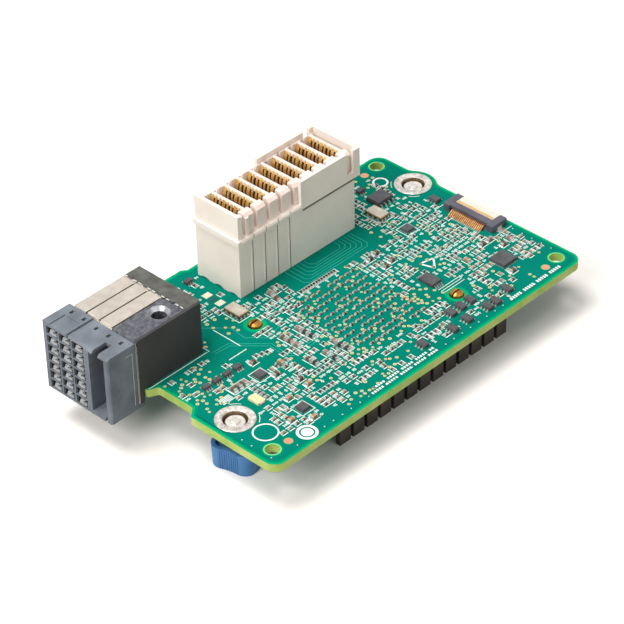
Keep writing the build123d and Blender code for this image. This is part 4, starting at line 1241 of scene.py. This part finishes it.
# %% Lay the traces
TRACKS = [
    [(19.5, 45.3), (23.3, 45.3), (27.5, 40.7), (27.1, 36.0), (30.5, 32.2), (36.2, 33.5)],
    [(18.6, 36.6), (22.8, 36.3), (28.8, 29.8), (28.4, 25.1), (29.9, 23.5), (40.2, 23.3)],
    [(18.6, 37.4), (23.1, 37.1), (29.6, 30.1), (29.2, 25.5), (30.2, 24.3), (40.4, 24.1)]]
TRACK_TOP = TOP + 0.012
traces = Collector("traces", "board", "mask_trace")
for path in TRACKS:
    traces.line(path, 0.14, 0.0, TRACK_TOP)
for i in range(6):
    left, right, near = 50.5 + 1.2 * i, 71.5 - 1.0 * i, 39.6 + 0.8 * i
    traces.line([(left, 46.4), (left, near + 1.0), (left + 1.0, near), (right - 1.0, near),
                 (right, near + 1.0), (right, 46.0)], 0.15, 0.0, TRACK_TOP)
traces.make()

# %% [markdown]
# ## Gold contacts of the tall connector
# Each wafer carries eight spring contacts. A contact leaves the wafer's foot, bows out so that the
# mating blade wipes along it, and turns back in at the tip. The strip is swept along a smooth bow
# here, because the bow is what throws the row of gold highlights. Its lower part lies in shade, and
# is painted dark brown as painted shade.

# %% Draw the contacts
STRIP, BOW_STEPS, SHADED_STEPS = 0.16, 12, 7
BOW_RISE, BOW_SHARPNESS, INNER_BOW = 1.7, 1.2, 0.85
contacts = Collector("mezzanine_contacts_drawn", "gold", "gold")
contact_rows = {}
for low, high in islands("mezzanine_contacts"):
    outer, inner = [], []
    for i in range(BOW_STEPS + 1):
        t = i / BOW_STEPS
        curve = math.sin(math.pi * min(1.0, t ** BOW_RISE)) ** BOW_SHARPNESS
        bow = (high.x - low.x - STRIP) * curve
        z = low.z + (high.z - low.z) * t
        outer.append((high.x - STRIP - bow, z))
        inner.append((high.x - bow * INNER_BOW, z))
    # The lower steps of each contact get the dark finish as painted shade, the upper ones plain gold
    for part, look in ((slice(None, SHADED_STEPS + 1), "gold_deep"),
                       (slice(SHADED_STEPS, None), "gold")):
        contacts.extrude(outer[part] + inner[part][::-1], 1, low.y, high.y, look)
    contact_rows.setdefault(round(high.x, 1), []).append((low, high))
contacts.make("mezzanine_contacts")
print("rows of contacts:", len(contact_rows))

# %% [markdown]
# ## Folds and shadows of the tall connector
# Its side is a stack of wafers with seams between them and a raised rib beside each seam, and its
# upper half stands out over the lower one on short lips. Dark brown strips behind the contacts are
# painted shade in the wells. Thin strips of a darker finish stand for the deep seams, which are too
# narrow to render as gaps, and two dark strips under the overhang are a painted shadow.

# %% Painted shade in the wells, dark seams, ribs, lips and a painted shadow under the overhang
WAFER_PITCH, FIRST_SEAM = 3.9, 4.35
wells = Collector("mezzanine_trim", "ivory", "ivory")
for row in contact_rows.values():
    low_y = min(low.y for low, high in row) - 0.1
    high_y = max(high.y for low, high in row) + 0.1
    low, high = row[0]
    # Dark brown strips on both sides of each row of contacts: painted shade in the wells
    wells.block(high.x - 0.04, high.x + 0.02, low_y, high_y, low.z, high.z - 0.4, "well_brown")
    wells.block(low.x + 0.38, low.x + 0.47, low_y, high_y, low.z, high.z - 0.5, "well_brown")
base_low, base_high = box_mm("mezzanine_base")
shroud_low = box_mm("mezzanine_shroud")[0]
side_y, ledge = base_low.y, base_high.z
for i in range(4):
    x = base_low.x + FIRST_SEAM + WAFER_PITCH * i
    wells.block(x - 0.1, x + 0.1, side_y + 0.04, side_y + 0.4, 0.1, ledge - 0.2, "gap_dark")
    wells.soft_block((x - 0.62, side_y - 0.09, 0.35), (x - 0.16, side_y + 0.1, ledge - 0.3), 0.04)
for i in range(5):
    x = base_low.x + 0.75 + WAFER_PITCH * i
    wells.soft_block((x, shroud_low.y - 0.16, ledge + 0.45),
                     (x + 3.3, shroud_low.y + 0.1, ledge + 1.1), 0.12)
# Two strips under the overhang, darkest just below it and paler further down: a painted shadow
for proud, bottom, top, look in ((0.015, 0.7, 0.02, "gap_dark"), (0.01, 1.0, 0.7, "fold_shadow")):
    wells.block(base_low.x + 20.3, base_high.x, side_y - proud, side_y + 0.02, ledge - bottom,
                ledge - top, look)
wells.make()

# %% [markdown]
# ## Fine pieces of the flat-cable connector
# The contacts of this connector are set so close that what lies between them counts as much as they
# do: a slope behind them, painted dark as painted shade, makes the comb readable. Each contact ends
# on a tinned pad. A tan tape lies along the latch's front edge and rides on the latch, so it turns
# with it.

# %% Pads, a slope with painted shade, and tape
strip_low, strip_high = box_mm("cable_contacts")
cable_trim = Collector("cable_trim", "black_plastic", "solder")
# A slope behind the contacts in a dark finish: painted shade between the contacts
cable_trim.extrude([(strip_low.x + 0.25, TOP), (socket_low.x, TOP), (socket_low.x, 0.85)], 1,
                   strip_low.y, strip_high.y, "gap_dark")
for low, high in islands("cable_contacts"):
    cable_trim.block(low.x - 0.55, low.x + 0.15, low.y, high.y, 0.0, PAD_TOP)
for low, high in islands("cable_hold_downs"):
    cable_trim.soft_block((low.x - 0.3, low.y - 0.25, 0.0), (high.x + 0.3, high.y + 0.25, 0.1),
                          0.02)
cable_trim.make()
latch_low, latch_high = box_mm("cable_latch")
tape = Collector("latch_tape", "cream_plastic", "tan_part", "latch")
tape.soft_block((latch_low.x + 0.02, latch_low.y + 0.6, latch_high.z - 0.03),
                (latch_low.x + 0.85, latch_high.y - 0.6, latch_high.z + 0.015), 0.01)
tape.make()

# %% [markdown]
# ## Shields of the backplane connector
# Each cavity holds a grounding shield bent to an L. The CAD solid gives its place and size, and the
# drawn one adds the hooked contact inside.

# %% Draw the shields
SHEET = 0.16
shields = Collector("backplane_contacts_drawn", "light_grey", "shield_dark")
for low, high in islands("backplane_contacts"):
    front, middle = low.x, (low.y + high.y) / 2
    shields.soft_block((front + 0.1, low.y, high.z - SHEET), tuple(high), 0.04)
    shields.soft_block((front + 0.1, high.y - SHEET, low.z), (high.x, high.y, high.z - SHEET), 0.04)
    below = [(-1.35, 0.3), (-0.2, 0.06), (1.0, 0.22), (0.8, 0.7)]
    above = [(0.45, 0.35), (-0.5, 0.12), (-0.95, 0.48), (-0.35, 0.68)]
    hook = [(middle + u, low.z + v) for u, v in below]
    hook += [(middle + u, high.z - v) for u, v in above]
    hook += [(middle + u, low.z + v) for u, v in ((-0.1, 0.8), (-1.25, 0.75))]
    shields.extrude(hook, 0, front + 0.02, front + 0.5, "grey_contact")
shields.make("backplane_contacts")

# %% Seams, tabs and painted edge highlights of the backplane connector
trim = Collector("backplane_trim", "steel", "bright_edge")
wafer_rows = islands("backplane_wafers")
wafer_top = max(high.z for low, high in wafer_rows)
for low, high in wafer_rows:
    if high.z > wafer_top - 0.3 and high.x - low.x > 8.0:
        trim.block(low.x + 0.3, high.x - 4.9, low.y - 0.14, low.y + 0.14, wafer_top - 0.01,
                   wafer_top + 0.015, "gap_dark")
plate_low, plate_high = box_mm("stiffener")
TABS = 13
# How far a tab stands out, its depth, half its length, its height, and its finish
PALE_TAB, DARK_TAB = (0.1, 0.18, 0.5, 0.05, "bright_edge"), (0.05, 0.35, 0.3, 0.06, "shield_dark")
for i in range(TABS):
    y = plate_low.y + 0.7 + i * (plate_high.y - plate_low.y - 1.4) / (TABS - 1)
    out, depth, half, rise, look = DARK_TAB if i % 3 == 2 else PALE_TAB
    trim.soft_block((plate_low.x - out, y - half, plate_high.z - 0.1),
                    (plate_low.x + depth, y + half, plate_high.z + rise), 0.03, look)
side_low, side_high = box_mm("side_plate")
housing_low = box_mm("backplane_housing")[0]
# X from and to, the face that it lies on, and Z from and to, of each painted highlight along an edge
for x0, x1, y, z0, z1 in (
        (side_low.x + 0.1, side_low.x + 0.24, side_low.y, side_low.z + 0.2, side_high.z - 0.2),
        (side_low.x + 0.4, side_low.x + 0.5, side_low.y, side_low.z + 0.2, side_high.z - 1.2),
        (-3.1, -2.98, housing_low.y, -2.6, 11.2), (-4.9, -2.98, housing_low.y, 11.2, 11.32)):
    trim.block(x0, x1, y - 0.03, y, z0, z1)
block_top = box_mm("guide_block")[1].z
GUIDE_HOLE = (8.8, 42.9)
trim.turned([(2.52, block_top + 0.015), (1.77, block_top - 0.88), (1.71, block_top - 0.88),
             (2.44, block_top + 0.015)], *GUIDE_HOLE, 48, ["zinc_light"] * 4)
trim.make()

# %% [markdown]
# ## Turned metal of the thumbscrews
# A ferrule is pressed into the board and holds the screw captive. Its rim is peened, so it is pale
# and mottled, and its bore is drawn in a darker brown. The screw's end has a short pilot that
# finds the threaded hole. Both are outlines turned round the screw's axis.

# %% Draw the ferrules and screws
FERRULE = [(1.67, -4.4), (3.1, -4.4), (3.2, -4.3), (3.2, 0.0), (4.4, 0.0), (4.5, 0.08),
           (4.5, 0.18), (4.4, 0.25), (3.05, 0.25), (2.85, 0.18), (2.75, 0.0), (2.75, -3.6),
           (1.67, -3.6)]
FERRULE_LOOKS = ["ferrule_rim"] * 10 + ["bore_brown"] * 3
THREAD = [(radius, -3.2 + 0.62 * i + rise) for i in range(4)
          for radius, rise in ((2.25, 0.0), (2.25, 0.12), (2.02, 0.31), (2.25, 0.5))]
SCREW = [(0.0, -10.5), (1.6, -10.5), (1.6, -3.55), (2.25, -3.55), *THREAD, (2.25, -0.62),
         (2.1, -0.5), (1.5, -0.46), (1.3, -0.52), (1.15, -0.5), (1.05, -0.3), (0.9, -0.25),
         (0.0, -0.25)]
ends = list(zip(("front", "rear"), SCREW_HOLES))
for end, (x, y) in ends:
    ferrule = Collector(end + "_ferrule_drawn", "steel", "ferrule_rim")
    ferrule.turned(FERRULE, x, y, 56, FERRULE_LOOKS)
    ferrule.make(end + "_ferrule", smooth=True)
    screw = Collector(end + "_screw_drawn", "steel", "screw_silver", end + "_turn")
    screw.turned(SCREW, x, y, 56, ["screw_silver"] * len(SCREW))
    screw.make(end + "_screw", smooth=True)

# %% [markdown]
# ## Ribs on the knobs
# Fingers need grip, so each knob has fine upright ribs on its two waisted sides. They follow the
# waist's arc and the side's slope, and stand out by about a seventh of a millimetre.

# %% Draw the ribs
KNOB_TURN = math.radians(13.6)
KNOB_TAPER = math.tan(math.radians(2.0))
WAIST, WAIST_RADIUS = 3.3, 12.0
KNOB_TOP, RIB_HIGH, RIB_LOW = -6.4, -6.55, -11.88
RIB, RIB_PITCH = 0.15, 0.56


def knob_point(x, y, across, along, z):
    """A point in the knob's own turned axes, in board millimetres."""
    c, s = math.cos(KNOB_TURN), math.sin(KNOB_TURN)
    return x + c * across - s * along, y + s * across + c * along, z


for end, (x, y) in ends:
    ribs = Collector(end + "_knob_ribs", "knob_blue", "knob_blue", end + "_turn")
    for side in (-1, 1):
        for i in range(-4, 5):
            along = RIB_PITCH * i
            bulge = WAIST + along * along / (2 * WAIST_RADIUS)
            levels = []
            for z in (RIB_LOW, RIB_HIGH):
                face = bulge - (KNOB_TOP - z) * KNOB_TAPER
                levels.append([knob_point(x, y, side * (face + out), along + half, z)
                               for out, half in ((-RIB, -0.15), (-RIB, 0.15), (RIB, 0.07),
                                                 (RIB, -0.07))])
            ribs.loft(levels)
    ribs.make()

# %% [markdown]
# ## Coil springs on the push pins
# A round wire wound on a helix presses each pin's head away from the heat sink. The CAD spring is
# square wire in short runs, which is enough for its size and place. The drawn one is a tube swept
# along the true helix between the same two levels.

# %% Draw the springs
COIL_RADIUS, WIRE, COIL_TURNS, COIL_STEPS, WIRE_SIDES = 1.95, 0.2, 3.5, 96, 8
for side, (x, y) in zip(("left", "right"), PIN_HOLES):
    low, high = box_mm("pin_spring_" + side)
    start, end = low.z + 0.22, high.z - 0.22
    coil = []
    for i in range(COIL_STEPS + 1):
        angle = 2 * math.pi * COIL_TURNS * i / COIL_STEPS
        z = start + (end - start) * i / COIL_STEPS
        coil.append([(*polar(x, y, COIL_RADIUS + out, angle), z + up)
                     for out, up in circle(0, 0, WIRE, WIRE_SIDES)])
    spring = Collector("pin_spring_" + side + "_drawn", "steel", "steel")
    spring.loft(coil)
    spring.make("pin_spring_" + side, smooth=True)

# %% [markdown]
# ## Press-fit tails under the board
# Both board connectors are pressed into plated holes, and the tails of their contacts just show on
# the far side. They are short pins with pointed ends, one row for each wafer.

# %% Draw the tails
TAIL_HALF, TAIL_LENGTH = 0.16, 1.0
tails = Collector("press_fit_tails", "tin", "tin")
tail_places = [(base_low.x + 2.1 + WAFER_PITCH * i, base_low.y + 1.6 + j * 1.5)
               for i in range(9) for j in range(8)]
tail_places += [(2.2 + j * 1.9, 48.3 + i * 4.05) for i in range(3) for j in range(7)]
for x, y in tail_places:
    tails.ring(x, y, 0.22, 0.42, UNDER - TOP - 0.02, UNDER, 10, "via_gold")
    root = [(*p, UNDER) for p in rectangle(x - TAIL_HALF, y - TAIL_HALF, x + TAIL_HALF,
                                           y + TAIL_HALF)]
    tails.add(root + [(x, y, UNDER - TAIL_LENGTH)],
              [(3, 2, 1, 0), (0, 1, 4), (1, 2, 4), (2, 3, 4), (3, 0, 4)])
tails.make()

# %% [markdown]
# The dressed card must not be larger than its CAD box. The CAD box is printed here.

# %% Print the CAD box
print("cad", [[round(c, 4) for c in v] for v in cad_box])
